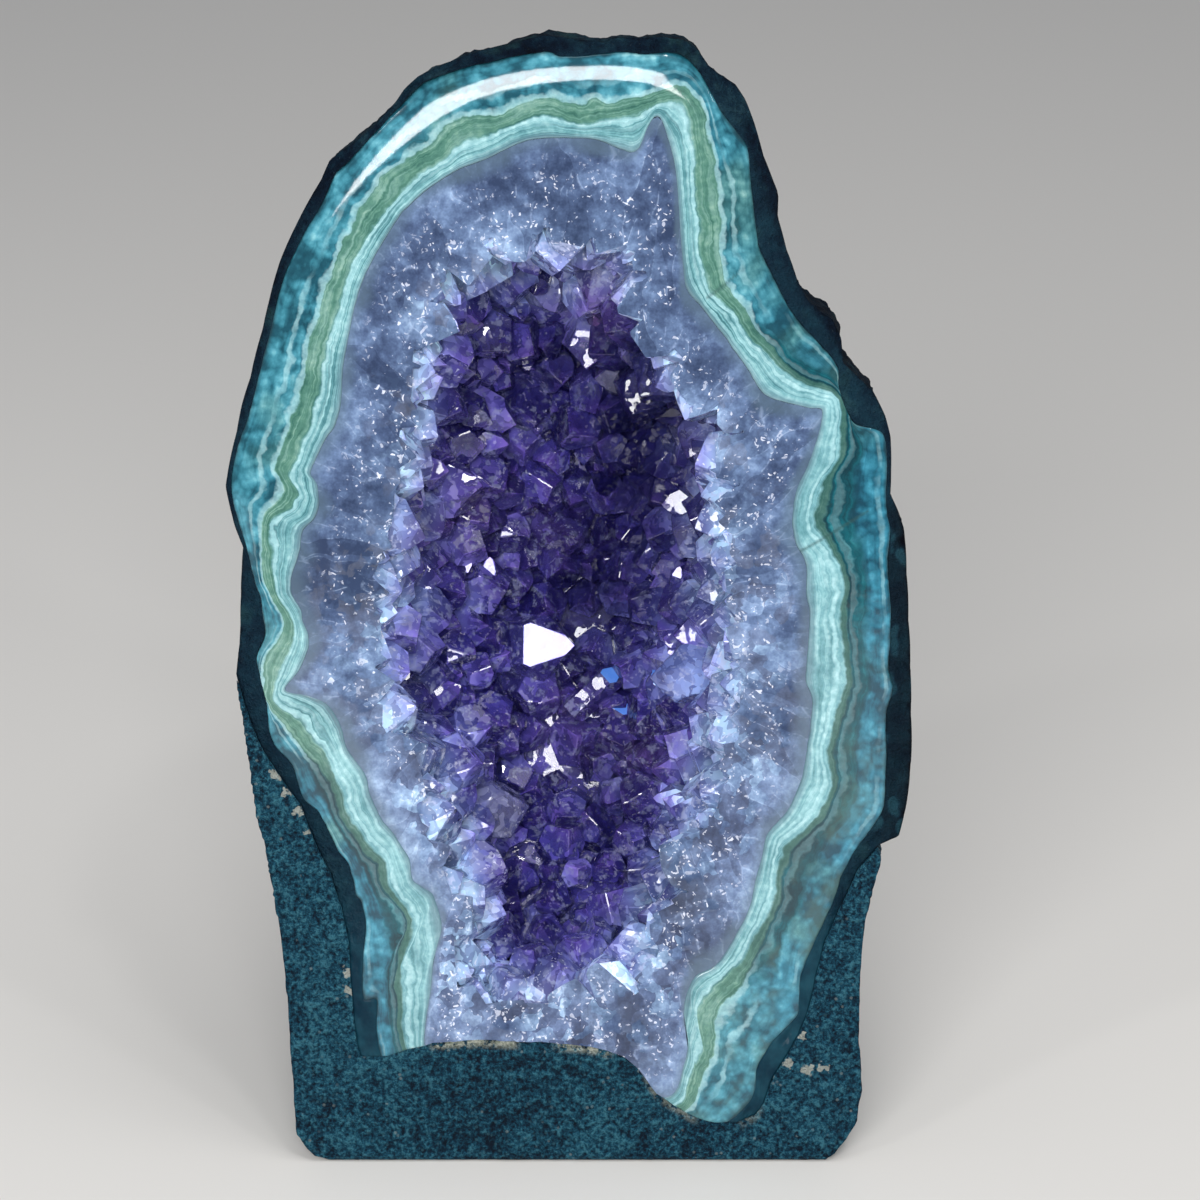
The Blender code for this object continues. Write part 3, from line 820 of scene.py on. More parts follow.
# Crystals that stand out: where the tip shows, how far it stands before the wall (mm),
# radius (mm), the way it points (right, up, towards the front), tint
STANDOUT = [
    (676, 446, 9, 8.6, (-0.45, -0.40, 0.80), "pale"), (650, 680, 20, 7.6, (-0.94, -0.10, 0.30), "blue"),
    (531, 808, 18, 8.0, (0.92, 0.05, 0.36), "pale"), (488, 764, 9, 5.2, (0.80, 0.0, 0.60), "pale"),
    (500, 286, 8, 9.6, (0.45, -0.55, 0.70), "pale"), (556, 314, 10, 8.4, (0.10, -0.75, 0.62), "pale"),
    (592, 326, 9, 6.6, (-0.30, -0.70, 0.62), "pink"), (596, 378, 9, 9.0, (-0.85, -0.20, 0.45), "pale"),
    (556, 536, 9, 7.2, (0.15, -0.10, 0.98), ""), (641, 550, 7, 5.4, (-0.20, 0.05, 0.97), "dusk"),
    (578, 736, 9, 7.8, (0.05, 0.10, 0.98), ""), (494, 692, 7, 5.8, (0.35, 0.05, 0.93), ""),
    (652, 830, 9, 5.6, (-0.55, 0.25, 0.80), ""), (606, 892, 12, 7.6, (-0.25, 0.60, 0.75), ""),
    (628, 944, 12, 8.6, (-0.30, 0.62, 0.72), ""), (582, 966, 10, 7.0, (0.02, 0.62, 0.78), "dusk"),
    (556, 1004, 9, 9.0, (0.0, 0.55, 0.84), "pink"), (486, 1000, 8, 6.0, (0.35, 0.50, 0.78), "white"),
    (462, 984, 7, 5.2, (0.50, 0.40, 0.76), "white"), (640, 1000, 7, 6.4, (-0.35, 0.50, 0.78), "white"),
    (436, 420, 8, 7.4, (0.75, -0.15, 0.64), "pale"), (470, 480, 8, 6.4, (0.75, 0.0, 0.66), ""),
    (436, 600, 8, 7.0, (0.80, 0.0, 0.60), "pale"), (430, 690, 8, 7.4, (0.80, 0.05, 0.60), "pale"),
    (470, 870, 9, 7.0, (0.75, 0.15, 0.64), "pale"), (520, 900, 9, 6.4, (0.55, 0.35, 0.76), ""),
    (704, 520, 9, 7.4, (-0.78, 0.0, 0.62), "pale"), (716, 600, 9, 6.8, (-0.80, 0.0, 0.60), "pale"),
    (690, 760, 9, 7.2, (-0.80, 0.10, 0.60), "pale"), (672, 880, 9, 7.0, (-0.70, 0.25, 0.66), "pale"),
    (630, 310, 8, 6.6, (-0.45, -0.55, 0.70), "pale"), (640, 1010, 6, 5.6, (-0.3, 0.6, 0.74), "white"),
    (480, 350, 9, 6.6, (0.60, -0.40, 0.70), "pale"), (530, 420, 8, 5.6, (0.40, -0.25, 0.88), ""),
]
# Facets turned to the light: middle, which way its point lies, radius (mm), stand (mm), kind; each gets a painted
# highlight on that facet, and the blue ones are turned away from the lamp and painted blue
GLINTS = [
    (549, 645, (1.0, -0.02), 8.6, 14, "glint"), (489, 566, (0.10, 1.0), 3.4, 8, "glint"),
    (468, 566, (0.7, 0.7), 1.8, 8, "glint"), (678, 572, (0.3, 0.9), 2.0, 7, "glint"),
    (671, 651, (-0.6, -0.6), 1.5, 6, "glint"), (500, 803, (0.8, 0.3), 2.0, 5, "glint"),
    (615, 672, (0.7, 0.6), 3.8, 8, "sky"), (618, 706, (-0.9, 0.1), 3.0, 7, "sky"), (657, 676, (-0.3, 0.9), 3.0, 9, "sky"),
    (650, 745, (0.4, -0.6), 1.5, 6, "glint"), (600, 860, (0.2, 0.9), 1.3, 5, "glint"),
    (722, 614, (0.2, 0.9), 1.8, 4, "glint"),
]
# where the flat of the quartz ends and the open crystals begin
MOUTH = [
    (500, 235), (545, 250), (590, 262), (630, 285), (655, 320), (668, 350), (690, 372), (722, 388), (735, 410),
    (728, 440), (722, 470), (735, 500), (740, 530), (738, 560), (742, 600), (748, 640), (745, 680), (735, 720),
    (728, 760), (720, 800), (700, 840), (690, 880), (680, 920), (660, 950), (640, 985), (625, 1015), (600, 1030),
    (560, 1035), (520, 1030), (490, 1015), (475, 985), (470, 950), (465, 915), (455, 885), (440, 855), (425, 820),
    (410, 790), (395, 760), (385, 730), (365, 705), (360, 690), (362, 650), (375, 620), (385, 590), (380, 560),
    (375, 530), (385, 500), (395, 470), (400, 430), (405, 395), (410, 360), (420, 330), (430, 300), (440, 275),
    (460, 250), (480, 238),
]


def to_world_matrix():
    """Face coordinates (across, behind, up) to the row frame."""
    return Matrix.Translation((0, FOOT_Y, 0)) @ Matrix.Rotation(-LEAN, 4, "X")


def standouts():
    """The crystals of STANDOUT and GLINTS, with their poses in the row frame."""
    out = []
    right, toward = np.array([1.0, 0, 0]), -AHEAD
    for px, py, stand, r, way, tint in STANDOUT:
        w = max(wall_depth(px, py) - stand / 1000, 0.0015)
        tip = world(*behind_face(px, py, w)[[0, 1, 2]])
        axis = right * way[0] + UP * way[1] + toward * way[2]
        axis /= np.linalg.norm(axis)
        out.append(dict(tip_at=tip, axis=axis, r=r / 1000, length=r / 1000 * 1.9, tint=tint, frame=None))
    th = math.radians(51.8)
    for px, py, way, r, stand, tint in GLINTS:
        w = max(wall_depth(px, py) - stand / 1000, 0.002)
        mid = world(*behind_face(px, py, w))
        a, b = EYE - mid, WINDOW - mid
        h = a / np.linalg.norm(a) + b / np.linalg.norm(b)
        h /= np.linalg.norm(h)
        if tint == "sky":      # turned away from the lamp
            h = h + UP * 0.5 + right * 0.35
            h /= np.linalg.norm(h)
        d = right * way[0] + UP * way[1]
        d = d - (d @ h) * h
        d /= np.linalg.norm(d)
        r = r / 1000
        axis = math.cos(th) * h + math.sin(th) * d
        x = (h - math.cos(th) * axis) / math.sin(th)
        out.append(dict(tip_at=mid + d * r * 0.75, axis=axis, r=r, length=r * 2.0, tint=tint,
                        frame=np.stack([x, np.cross(axis, x), axis], 1)))
    return out


def druse_piece():
    rng = random.Random(29)
    face = to_world_matrix()
    made = []
    for g in standouts():
        if g["frame"] is not None:
            M = Matrix(np.vstack([np.hstack([g["frame"], (g["tip_at"] - g["axis"] * g["length"])[:, None]]),
                                  [[0, 0, 0, 1]]]).tolist())
        else:
            M = (Matrix.Translation(Vector(g["tip_at"] - g["axis"] * g["length"]))
                 @ Vector(g["axis"]).to_track_quat("Z", "Y").to_matrix().to_4x4() @ Matrix.Rotation(rng.uniform(0, TAU), 4, "Z"))
        made.append(dict(M=M, r=g["r"], tip=g["length"], root=0.016 if g["r"] > 0.004 else 0.010, tint=g["tint"],
                         even=g["frame"] is not None))
    hero_tips = [(np.array(g["M"] @ Vector((0, 0, g["tip"] * 0.6))), g["r"]) for g in made]
    for g in grow(rng):
        pose = (Matrix.Translation(Vector(g["p"])) @ Vector(g["axis"]).to_track_quat("Z", "Y").to_matrix().to_4x4()
                @ Matrix.Rotation(g["turn"], 4, "Z"))
        M = face @ pose
        end = np.array(M @ Vector((0, 0, g["tip"] * 0.8)))
        if any(np.linalg.norm(end - t) < r * 0.95 for t, r in hero_tips):
            continue
        made.append(dict(M=M, r=g["r"], tip=g["tip"], root=0.0045, tint="", even=False))
    batches = []      # crystals of one batch don't meet
    for g in made:
        g["centre"] = np.array(g["M"] @ Vector((0, 0, (g["tip"] - g["root"]) / 2)))
        g["far"] = math.hypot(g["r"] * 1.25, (g["tip"] + g["root"]) / 2) + 0.0005
        for b in batches:
            if all(np.linalg.norm(g["centre"] - o["centre"]) > g["far"] + o["far"] for o in b):
                b.append(g)
                break
        else:
            batches.append([g])
    cutters = []
    planes = []
    for i, b in enumerate(batches):
        bm = bmesh.new()
        for g in b:
            normals, offs = half_planes(g["r"], g["tip"], g["root"], rng, g["even"])
            M = g["M"]
            if not point_mesh(bm, normals, offs, M, min(0.00016 + g["r"] * 0.012, 0.0003)):
                continue
            R = np.array(M.to_3x3())
            nw = normals @ R.T
            planes.append((nw, offs + nw @ np.array(M.translation), np.array(M.translation), R[:, 2].copy(),
                           g["r"], g["tip"], g["tint"]))
        obj = mesh_object(f"points_{i}", [], [], helper=True)
        bm.to_mesh(obj.data)
        bm.free()
        cutters.append(obj)
    n = 320
    a = np.linspace(0, TAU, n, endpoint=False)
    lip = 0.0050 + 0.0022 * grain(np.stack([np.sin(a) * 0.06, np.cos(a) * 0.06, a * 0], 1), 150, 77, 2)
    rows = []
    for w in [-0.02, 0.0, 0.0015, 0.0035, 0.006] + [CAVITY_DEPTH * math.sin(math.pi / 2 * x) for x in np.linspace(0.10, 0.975, 12)]:
        r = cavity_ring(a) * swell(CAVITY_DEPTH, max(w, 0.0), 2.2) - lip * (1 - step(max(w, 0.0), 0.0, 0.0065))
        rows.append(world(MIDDLE[0] - r * np.sin(a), np.full(n, w), MIDDLE[1] - r * np.cos(a)))
    first = world(*[np.float64(x) for x in (MIDDLE[0], -0.02, MIDDLE[1])])
    last = world(*[np.float64(x) for x in (MIDDLE[0], CAVITY_DEPTH, MIDDLE[1])])
    hollow = closed_stack("hollow", rows, first, last, helper=True)
    baked(hollow, cutters)

    n = 700
    rows = dome_rows(quartz_ring, DRUSE_DEPTH, n, 10, 2.4, start_w=0.0)
    a = np.linspace(0, TAU, n, endpoint=False)
    u, v = quartz_ring.xy(a)
    rows = [world(u, np.full(n, -0.01), v)] + rows
    first = world(*[np.float64(x) for x in (MIDDLE[0], -0.01, MIDDLE[1])])
    last = world(*[np.float64(x) for x in (MIDDLE[0], DRUSE_DEPTH, MIDDLE[1])])
    obj = closed_stack("amethyst_crystals", rows, first, last)
    baked(obj, [hollow, under, saw])

    # small squares over the flat of the face, to carry its markings
    mesh = obj.data
    bm = bmesh.new()
    bm.from_mesh(mesh)
    def on_face():
        flat = [f for f in bm.faces if all(abs(local(np.array(v.co))[1]) < 2e-6 for v in f.verts)]
        parts = set(flat)
        for f in flat:
            parts.update(f.edges)
            parts.update(f.verts)
        return list(parts)
    for direction, lo, hi in (((1, 0, 0), -0.075, 0.085), ((0, SIN, COS), 0.005, 0.27)):
        geom = on_face()
        for at in np.arange(lo, hi, 0.0022):
            co = Vector((at, FOOT_Y, 0)) if direction[0] else Vector(world(0.0, 0.0, at))
            cut = bmesh.ops.bisect_plane(bm, geom=geom, dist=1e-7, plane_co=co, plane_no=direction)
            geom = cut["geom"]
    # a face whose diagonal would double an edge gets a point in its middle instead
    source = bm.faces.layers.int.new("source")
    for _ in range(4):
        bm.faces.ensure_lookup_table()
        for i, f in enumerate(bm.faces):
            f[source] = i
        trial = bm.copy()
        key = trial.faces.layers.int["source"]
        bmesh.ops.triangulate(trial, faces=trial.faces[:])
        bad = {f[key] for e in trial.edges if len(e.link_faces) != 2 for f in e.link_faces}
        poked = [bm.faces[i] for i in bad if len(bm.faces[i].verts) > 3]
        if not poked:
            bm.free()
            bm = trial
            break
        trial.free()
        bmesh.ops.poke(bm, faces=poked)
    bm.faces.layers.int.remove(bm.faces.layers.int["source"])
    bm.to_mesh(mesh)
    bm.free()

    # which crystal each face belongs to, and how far along it lies
    P = points_of(mesh)
    count = len(mesh.polygons)
    centres = np.empty(count * 3, np.float32)
    mesh.polygons.foreach_get("center", centres)
    centres = centres.reshape(-1, 3).astype(np.float64)
    owner = np.full(count, -1)
    facet_light = np.zeros(count)
    # painted light and shade: a random brightness for each face of each crystal, as lit and shaded facets
    facet_light_table = np.random.default_rng(8).random((len(planes), 13))
    best = np.full(count, 0.00045)
    for i, (nw, d, at, axis, r, tip, tint) in enumerate(planes):
        near = np.where(((centres - at - axis * tip * 0.4) ** 2).sum(1) < (r * 1.3 + tip * 0.62 + 0.003) ** 2)[0]
        if not len(near):
            continue
        reach = centres[near] @ nw.T - d
        off = np.abs(reach.max(axis=1))
        win = off < best[near]
        best[near[win]] = off[win]
        owner[near[win]] = i
        facet_light[near[win]] = facet_light_table[i][reach.argmax(axis=1)[win]]
        # painted highlight on the facet of a glint crystal turned towards the eye, painted shade on its other faces
        if tint in ("sky", "glint"):
            facet_light[near[win]] = np.where(reach.argmax(axis=1)[win] == 6, 2.0, 0.3)
    _, wc, _ = local(centres)
    owner[wc < 0.00005] = -1
    starts = np.empty(count, np.int32); totals = np.empty(count, np.int32)
    mesh.polygons.foreach_get("loop_start", starts); mesh.polygons.foreach_get("loop_total", totals)
    loop_v = np.empty(len(mesh.loops), np.int32)
    mesh.loops.foreach_get("vertex_index", loop_v)
    loop_face = np.repeat(np.arange(count), totals)
    lo = owner[loop_face]
    at = np.array([p[2] for p in planes]); ax = np.array([p[3] for p in planes])
    tt = np.array([p[5] for p in planes])
    X = P[loop_v]
    rise = ((X - at[lo]) * ax[lo]).sum(1)
    tip = np.where(lo >= 0, rise / tt[lo], 0.0)
    put(mesh, "tip", np.clip(tip, -0.5, 1.2), "CORNER")
    dice = np.random.default_rng(3).random(len(planes))
    put(mesh, "dice", np.where(owner >= 0, dice[owner], 0.5), "FACE")
    turned = facet_light > 1.5
    facet_light = np.clip(facet_light, 0, 1)
    put(mesh, "facet_light", np.where(owner >= 0, facet_light, 0.5), "FACE")
    put(mesh, "own", np.where((owner >= 0) | (wc > 0.0002), 1.0, 0.0), "FACE")
    tints = [p[6] for p in planes]
    for name, words in (("calm", ("glint", "sky")), ("sky", ("sky",)), ("blue", ("blue",)), ("rose", ("pink",)), ("white", ("white", "pale"))):
        v = np.array([{"pale": 0.55}.get(t, 1.0) if t in words else 0.0 for t in tints])
        put(mesh, name, np.where((owner >= 0) & (turned | (name not in ("calm", "sky"))), v[owner], 0.0), "FACE")
    _, W, V = local(P)
    put(mesh, "behind", W)
    # how far from the agate, on the face
    uv = np.stack([local(P)[0], V], 1)
    al = bearing(uv)
    put(mesh, "inward", quartz_ring(al) * swell(DRUSE_DEPTH, W, 2.4) - np.linalg.norm(uv - MIDDLE, axis=1))
    put(mesh, "along", al * 0.085)
    sx, sy = seen(P)
    def spot(places):
        out = np.zeros(len(P))
        for px, py, rx, ry, k in places:
            out = np.maximum(out, k * np.exp(-((sx - px) / rx) ** 2 - ((sy - py) / ry) ** 2))
        return np.clip(out, 0, 1)
    flat_u = (sx - SHEET_MID) * SHEET_UNIT
    flat_v = (SHEET_MID - sy) * SHEET_UNIT
    b = flat_v / (math.cos(SHEET_TILT) + flat_v / SHEET_DIST * math.sin(SHEET_TILT))
    on = np.stack([flat_u * (1 - b * math.sin(SHEET_TILT) / SHEET_DIST) - MID_X, b + FOOT_V], 1)
    # how far in from the mouth each point shows; the crystals darken with it, partly as painted shade of the deep
    # cavity
    put(mesh, "core", (Ring(MOUTH)(bearing(on)) - np.linalg.norm(on - MIDDLE, axis=1)) / 0.024)
    put(mesh, "dim", spot([(575, 190, 90, 40, 1.0), (400, 330, 50, 90, 0.6), (350, 560, 50, 120, 0.5), (620, 1040, 80, 40, 0.4)]))
    # painted shade: a near-black patch where the cavity runs deepest, partly also a darker colour zone of the stone
    put(mesh, "dark", spot([(642, 446, 62, 135, 1.0), (600, 590, 60, 70, 0.8), (560, 360, 60, 36, 0.7),
                            (600, 800, 40, 60, 0.55), (690, 500, 30, 60, 0.5)]) * step(W, 0.006, 0.016))
    put(mesh, "pink", spot([(600, 300, 34, 36, 0.6), (556, 530, 34, 32, 0.3), (555, 1012, 60, 34, 0.6),
                            (573, 730, 40, 45, 0.45), (640, 765, 45, 35, 0.45), (470, 520, 50, 50, 0.35)]))
    put(mesh, "broken", spot([(430, 800, 70, 150, 1.0), (460, 960, 60, 90, 1.0), (550, 1030, 110, 46, 1.0), (660, 960, 60, 80, 1.0),
                              (720, 800, 70, 120, 0.9), (740, 620, 60, 110, 0.8), (380, 620, 60, 70, 0.6), (700, 440, 60, 60, 0.5),
                              (470, 300, 70, 50, 0.7), (400, 420, 50, 60, 0.5)]))
    put(mesh, "milk", spot([(690, 760, 120, 300, 0.8), (420, 860, 90, 160, 1.0), (520, 1010, 110, 40, 1.0),
                            (480, 260, 80, 60, 0.8), (745, 560, 70, 160, 0.7)]))
    print("crystals", len(planes), "batches", len(batches), "faces", count)
    return obj


# ================================================================= the cement
def side_at(line, z):
    pts = [sheet(*p) for p in line]
    hs = [p[1] * COS for p in pts]
    hs[0] = 0.0
    return float(np.interp(z, hs, [p[0] for p in pts]))


def cement_piece():
    left_top = sheet(*FOOT_LEFT[-1])[1] * COS
    right_top = sheet(*FOOT_RIGHT[-1])[1] * COS
    top = left_top + 0.006
    levels = np.concatenate([[0, 0.0003, 0.0008, 0.0015], np.linspace(0.0023, top, 104)])
    m = 600
    rows = []
    for z in levels:
        face_y = FOOT_Y + z * math.tan(LEAN)
        low = min(z / 0.010, 1.0)
        back = FOOT_Y + FOOT_BACK - 0.008 * (1 - low) ** 2 + 0.012 * min(z / 0.06, 1.0)
        back -= max(z - 0.067, 0.0) * 1.35
        left = side_at(FOOT_LEFT, z) + max(z - left_top, 0.0) * 1.6
        right = side_at(FOOT_RIGHT, z) - max(z - right_top, 0.0) * 1.5
        mid_x, half_x = (left + right) / 2, (right - left) / 2
        mid_y = face_y + 0.020
        f = np.linspace(0, TAU, 4000, endpoint=False) + math.pi / 2
        c, s = np.cos(f), np.sin(f)
        e = np.where(s > 0, 2 / 2.7, 2 / 9.0)
        x = mid_x + half_x * np.sign(c) * np.abs(c) ** e
        reach = np.where(s > 0, back - mid_y, mid_y - (face_y - 0.012))
        y = mid_y + reach * np.sign(s) * np.abs(s) ** e
        toe = 0.0022 - math.sqrt(max(0.0022 ** 2 - max(0.0022 - z, 0) ** 2, 0))
        floor_y = face_y + toe
        k = 0.0012
        y = np.where(y > floor_y + 3 * k, y, floor_y + k * np.log1p(np.exp(np.clip((y - floor_y) / k, -50, 50))) - 0.0)
        arc = np.concatenate([[0], np.cumsum(np.hypot(np.diff(np.append(x, x[0])), np.diff(np.append(y, y[0]))))])
        q = np.linspace(0, arc[-1], m, endpoint=False)
        px, py = np.interp(q, arc, np.append(x, x[0])), np.interp(q, arc, np.append(y, y[0]))
        rows.append(np.stack([px, py, np.full(m, z)], 1))
    R = np.array(rows)
    # normals of the stack, for the sandy relief
    du = np.roll(R, -1, axis=1) - np.roll(R, 1, axis=1)
    dz = np.gradient(R, axis=0)
    N = np.cross(du, dz)
    N /= np.linalg.norm(N, axis=2, keepdims=True) + 1e-12
    P = R.reshape(-1, 3)
    N = N.reshape(-1, 3)
    mid = P.mean(axis=0)
    if ((P - mid) * N).sum() < 0:
        N = -N
    rel = grain(P, 700, 41, 2, 0.6) * 0.00030 + grain(P, 260, 42, 2, 0.5) * 0.00030 + grain(P, 60, 43, 2) * 0.0006
    face = np.clip(-(N @ np.array([0, COS, -SIN])), 0, 1) > 0.7
    rel = np.where(face, np.minimum(rel * 0.8 - 0.00022, 0.0), rel - 0.0006)
    rel *= step(P[:, 2], 0.0, 0.0015)
    P = P + N * rel[:, None]
    rows = list(P.reshape(R.shape))
    first = np.array([rows[0][:, 0].mean(), rows[0][:, 1].mean(), 0.0])
    last = np.array([rows[-1][:, 0].mean(), rows[-1][:, 1].mean(), top])
    obj = closed_stack("sandy_cement_foot", rows, first, last, flip=True)
    # the geode's own shape, which the cement holds
    n = 500
    a = np.linspace(0, TAU, n, endpoint=False)
    u, v = rind_ring.xy(a)
    g = [world(u, np.full(n, -0.01), v)] + dome_rows(rind_ring, RIND_DEPTH, n, 18, 2.4, start_w=0.0)
    first = world(*[np.float64(x) for x in (MIDDLE[0], -0.01, MIDDLE[1])])
    last = world(*[np.float64(x) for x in (MIDDLE[0], RIND_DEPTH, MIDDLE[1])])
    seat = closed_stack("seat", g, first, last, helper=True)
    baked(seat, [bed])
    baked(obj, [seat])
    kept_in(obj)
    P = points_of(obj.data)
    u, w, v = local(P)
    top = np.array([sheet(*p) for p in CEMENT_TOP])
    put(obj.data, "edge", np.interp(u, top[:, 0], top[:, 1]) - v + np.maximum(w - 0.0015, 0) * 2)
    sx, sy = seen(P)
    put(obj.data, "grit", np.clip(step(sx, 426, 440) * step(sx, 522, 512) + step(sx, 550, 562) * step(sx, 616, 604)
                                  + 0.5 * step(sx, 640, 650) * step(sx, 700, 690) + 0.35 * step(sx, 735, 745) * step(sx, 765, 755), 0, 1))
    return obj


def outward(obj):
    bm = bmesh.new()
    bm.from_mesh(obj.data)
    if bm.calc_volume(signed=True) < 0:
        bmesh.ops.reverse_faces(bm, faces=bm.faces[:])
        bm.to_mesh(obj.data)
        print("turned", obj.name)
    bad = sum(not e.is_manifold for e in bm.edges)
    print(obj.name, "volume", round(bm.calc_volume() * 1e6, 1), "cm3, open edges", bad,
          "triangles", sum(len(f.verts) - 2 for f in bm.faces))
    bm.free()


import time
clock = time.time()
crust = rind_piece(); outward(crust); print("rind", round(time.time() - clock, 1))
agate = agate_piece(); outward(agate); print("agate", round(time.time() - clock, 1))
druse = druse_piece(); outward(druse); print("druse", round(time.time() - clock, 1))
cement = cement_piece(); outward(cement); print("cement", round(time.time() - clock, 1))

for obj in list(helpers.objects):
    bpy.data.objects.remove(obj, do_unlink=True)
bpy.data.collections.remove(helpers)


# ================================================================== materials
class Web:
    """A material and short ways to add nodes to it."""

    def __init__(self, name):
        self.mat = bpy.data.materials.new(name)
        self.mat.use_nodes = True
        self.tree = self.mat.node_tree
        self.face = self.tree.nodes["Principled BSDF"]
        self.end = self.tree.nodes["Material Output"]

    def put(self, socket, value):
        if isinstance(value, bpy.types.NodeSocket):
            self.tree.links.new(value, socket)
        elif isinstance(value, (tuple, list)) and len(value) == 3 and socket.type == "RGBA":
            socket.default_value = (*value, 1)
        else:
            socket.default_value = value

    def node(self, kind, out=0, **values):
        n = self.tree.nodes.new(kind)
        for key, value in values.items():
            if key in n.inputs:
                self.put(n.inputs[key], value)
            else:
                setattr(n, key, value)
        return n.outputs[out]

    def math(self, op, a, b=None, c=None, clamp=False):
        n = self.tree.nodes.new("ShaderNodeMath")
        n.operation = op
        n.use_clamp = clamp
        for i, x in enumerate((a, b, c)):
            if x is not None:
                self.put(n.inputs[i], x)
        return n.outputs[0]

    def vec(self, op, a, b=None, scale=None, out=0):
        n = self.tree.nodes.new("ShaderNodeVectorMath")
        n.operation = op
        self.put(n.inputs[0], a)
        if b is not None:
            self.put(n.inputs[1], b)
        if scale is not None:
            self.put(n.inputs["Scale"], scale)
        return n.outputs[out]

    def attr(self, name):
        n = self.tree.nodes.new("ShaderNodeAttribute")
        n.attribute_name = name
        return n.outputs["Fac"]

    def join(self, x, y, z=0.0):
        n = self.tree.nodes.new("ShaderNodeCombineXYZ")
        for i, v in enumerate((x, y, z)):
            self.put(n.inputs[i], v)
        return n.outputs[0]

    def here(self):
        n = self.tree.nodes.new("ShaderNodeTexCoord")
        return n.outputs["Object"]

    def parts(self, v):
        n = self.tree.nodes.new("ShaderNodeSeparateXYZ")
        self.put(n.inputs[0], v)
        return n.outputs

    def noise(self, at, scale, detail=2.0, rough=0.5, out="Fac", dims="3D"):
        n = self.tree.nodes.new("ShaderNodeTexNoise")
        n.noise_dimensions = dims
        self.put(n.inputs["Vector"], at)
        self.put(n.inputs["Scale"], scale)
        self.put(n.inputs["Detail"], detail)
        self.put(n.inputs["Roughness"], rough)
        return n.outputs[out]

    def cells(self, at, scale, feature="F1", out="Distance", random=1.0, dims="3D"):
        n = self.tree.nodes.new("ShaderNodeTexVoronoi")
        n.voronoi_dimensions = dims
        n.feature = feature
        self.put(n.inputs["Vector"], at)
        self.put(n.inputs["Scale"], scale)
        self.put(n.inputs["Randomness"], random)
        return n.outputs[out]

    def span(self, x, a, b, c=0.0, d=1.0, kind="SMOOTHSTEP"):
        n = self.tree.nodes.new("ShaderNodeMapRange")
        n.interpolation_type = kind
        for i, v in enumerate((x, a, b, c, d)):
            self.put(n.inputs[i], v)
        return n.outputs[0]

    def ramp(self, x, stops, kind="LINEAR"):
        n = self.tree.nodes.new("ShaderNodeValToRGB")
        n.color_ramp.interpolation = kind
        e = n.color_ramp.elements
        while len(e) < len(stops):
            e.new(0.5)
        for i, (p, c) in enumerate(stops):
            e[i].position = p
            e[i].color = (*c, 1) if len(c) == 3 else c
        self.put(n.inputs[0], x)
        return n.outputs[0]

    def mix(self, f, a, b, mode="MIX"):
        n = self.tree.nodes.new("ShaderNodeMix")
        n.data_type = "RGBA"
        n.blend_type = mode
        n.clamp_factor = True
        self.put(n.inputs[0], f)
        self.put(n.inputs[6], a)
        self.put(n.inputs[7], b)
        return n.outputs[2]

    def line(self, x, at, half):
        """1 on x = at, falling to 0 over half."""
        return self.span(self.math("ABSOLUTE", self.math("SUBTRACT", x, at)), half * 0.35, half, 1.0, 0.0)

    def bump(self, height, strength, distance, normal=None):
        n = self.tree.nodes.new("ShaderNodeBump")
        self.put(n.inputs["Height"], height)
        self.put(n.inputs["Strength"], strength)
        self.put(n.inputs["Distance"], distance)
        if normal is not None:
            self.put(n.inputs["Normal"], normal)
        return n.outputs[0]

    def set(self, **values):
        for key, value in values.items():
            self.put(self.face.inputs[key.replace("_", " ")], value)
        return self.mat


def plain(name, colour, rough):
    w = Web(name)
    return w.set(Base_Color=colour, Roughness=rough)


def basalt_look():
    w = Web("basalt_look")
    at = w.here()
    big = w.noise(at, 45, 3, 0.6)
    fine = w.noise(at, 420, 4, 0.65)
    grit = w.noise(at, 1500, 3, 0.6)
    base = w.ramp(w.math("ADD", w.math("MULTIPLY", big, 0.55), w.math("MULTIPLY", fine, 0.45)), [
        (0.30, (0.0003, 0.0014, 0.0050)), (0.46, (0.0012, 0.0066, 0.0165)),
        (0.56, (0.0040, 0.0180, 0.0320)), (0.70, (0.018, 0.050, 0.066))])
    green = w.span(w.noise(at, 90, 3, 0.6), 0.56, 0.70)
    base = w.mix(w.math("MULTIPLY", green, 0.45), base, (0.014, 0.045, 0.046))
    pale = w.span(grit, 0.66, 0.76)
    base = w.mix(w.math("MULTIPLY", pale, 0.30), base, (0.10, 0.15, 0.16))
    polish = w.attr("polish")
    # the chipped strip: paler teal lumps, with painted shade darkening the hollows between them
    knobs = w.cells(w.vec("ADD", w.vec("MULTIPLY", at, (1.0, 1.0, 0.46)),
                          w.vec("SCALE", w.vec("SUBTRACT", w.noise(at, 200, 1, 0.5, out="Color"), (0.5, 0.5, 0.5)), scale=0.003)), 225, "F1")
    base = w.mix(w.math("MULTIPLY", w.attr("chips"), w.span(knobs, 0.32, 0.44, 1.0, 0.0)), base, (0.010, 0.040, 0.056))
    base = w.mix(w.math("MULTIPLY", w.attr("chips"), w.span(knobs, 0.38, 0.50, 0.0, 1.0)), base, (0.0003, 0.0006, 0.0040))
    smooth = w.ramp(w.noise(at, 160, 3, 0.6), [(0.35, (0.0030, 0.0190, 0.0340)), (0.65, (0.009, 0.046, 0.068))])
    base = w.mix(polish, base, smooth)
    rough = w.span(polish, 0.0, 1.0, 0.72, 0.22, "LINEAR")
    height = w.math("ADD", w.math("MULTIPLY", fine, 0.7), w.math("MULTIPLY", grit, 0.4))
    height = w.math("MULTIPLY", height, w.span(polish, 0.0, 1.0, 1.0, 0.05, "LINEAR"))
    return w.set(Base_Color=base, Roughness=rough, Normal=w.bump(height, 1.0, 0.0034), Specular_IOR_Level=0.08)


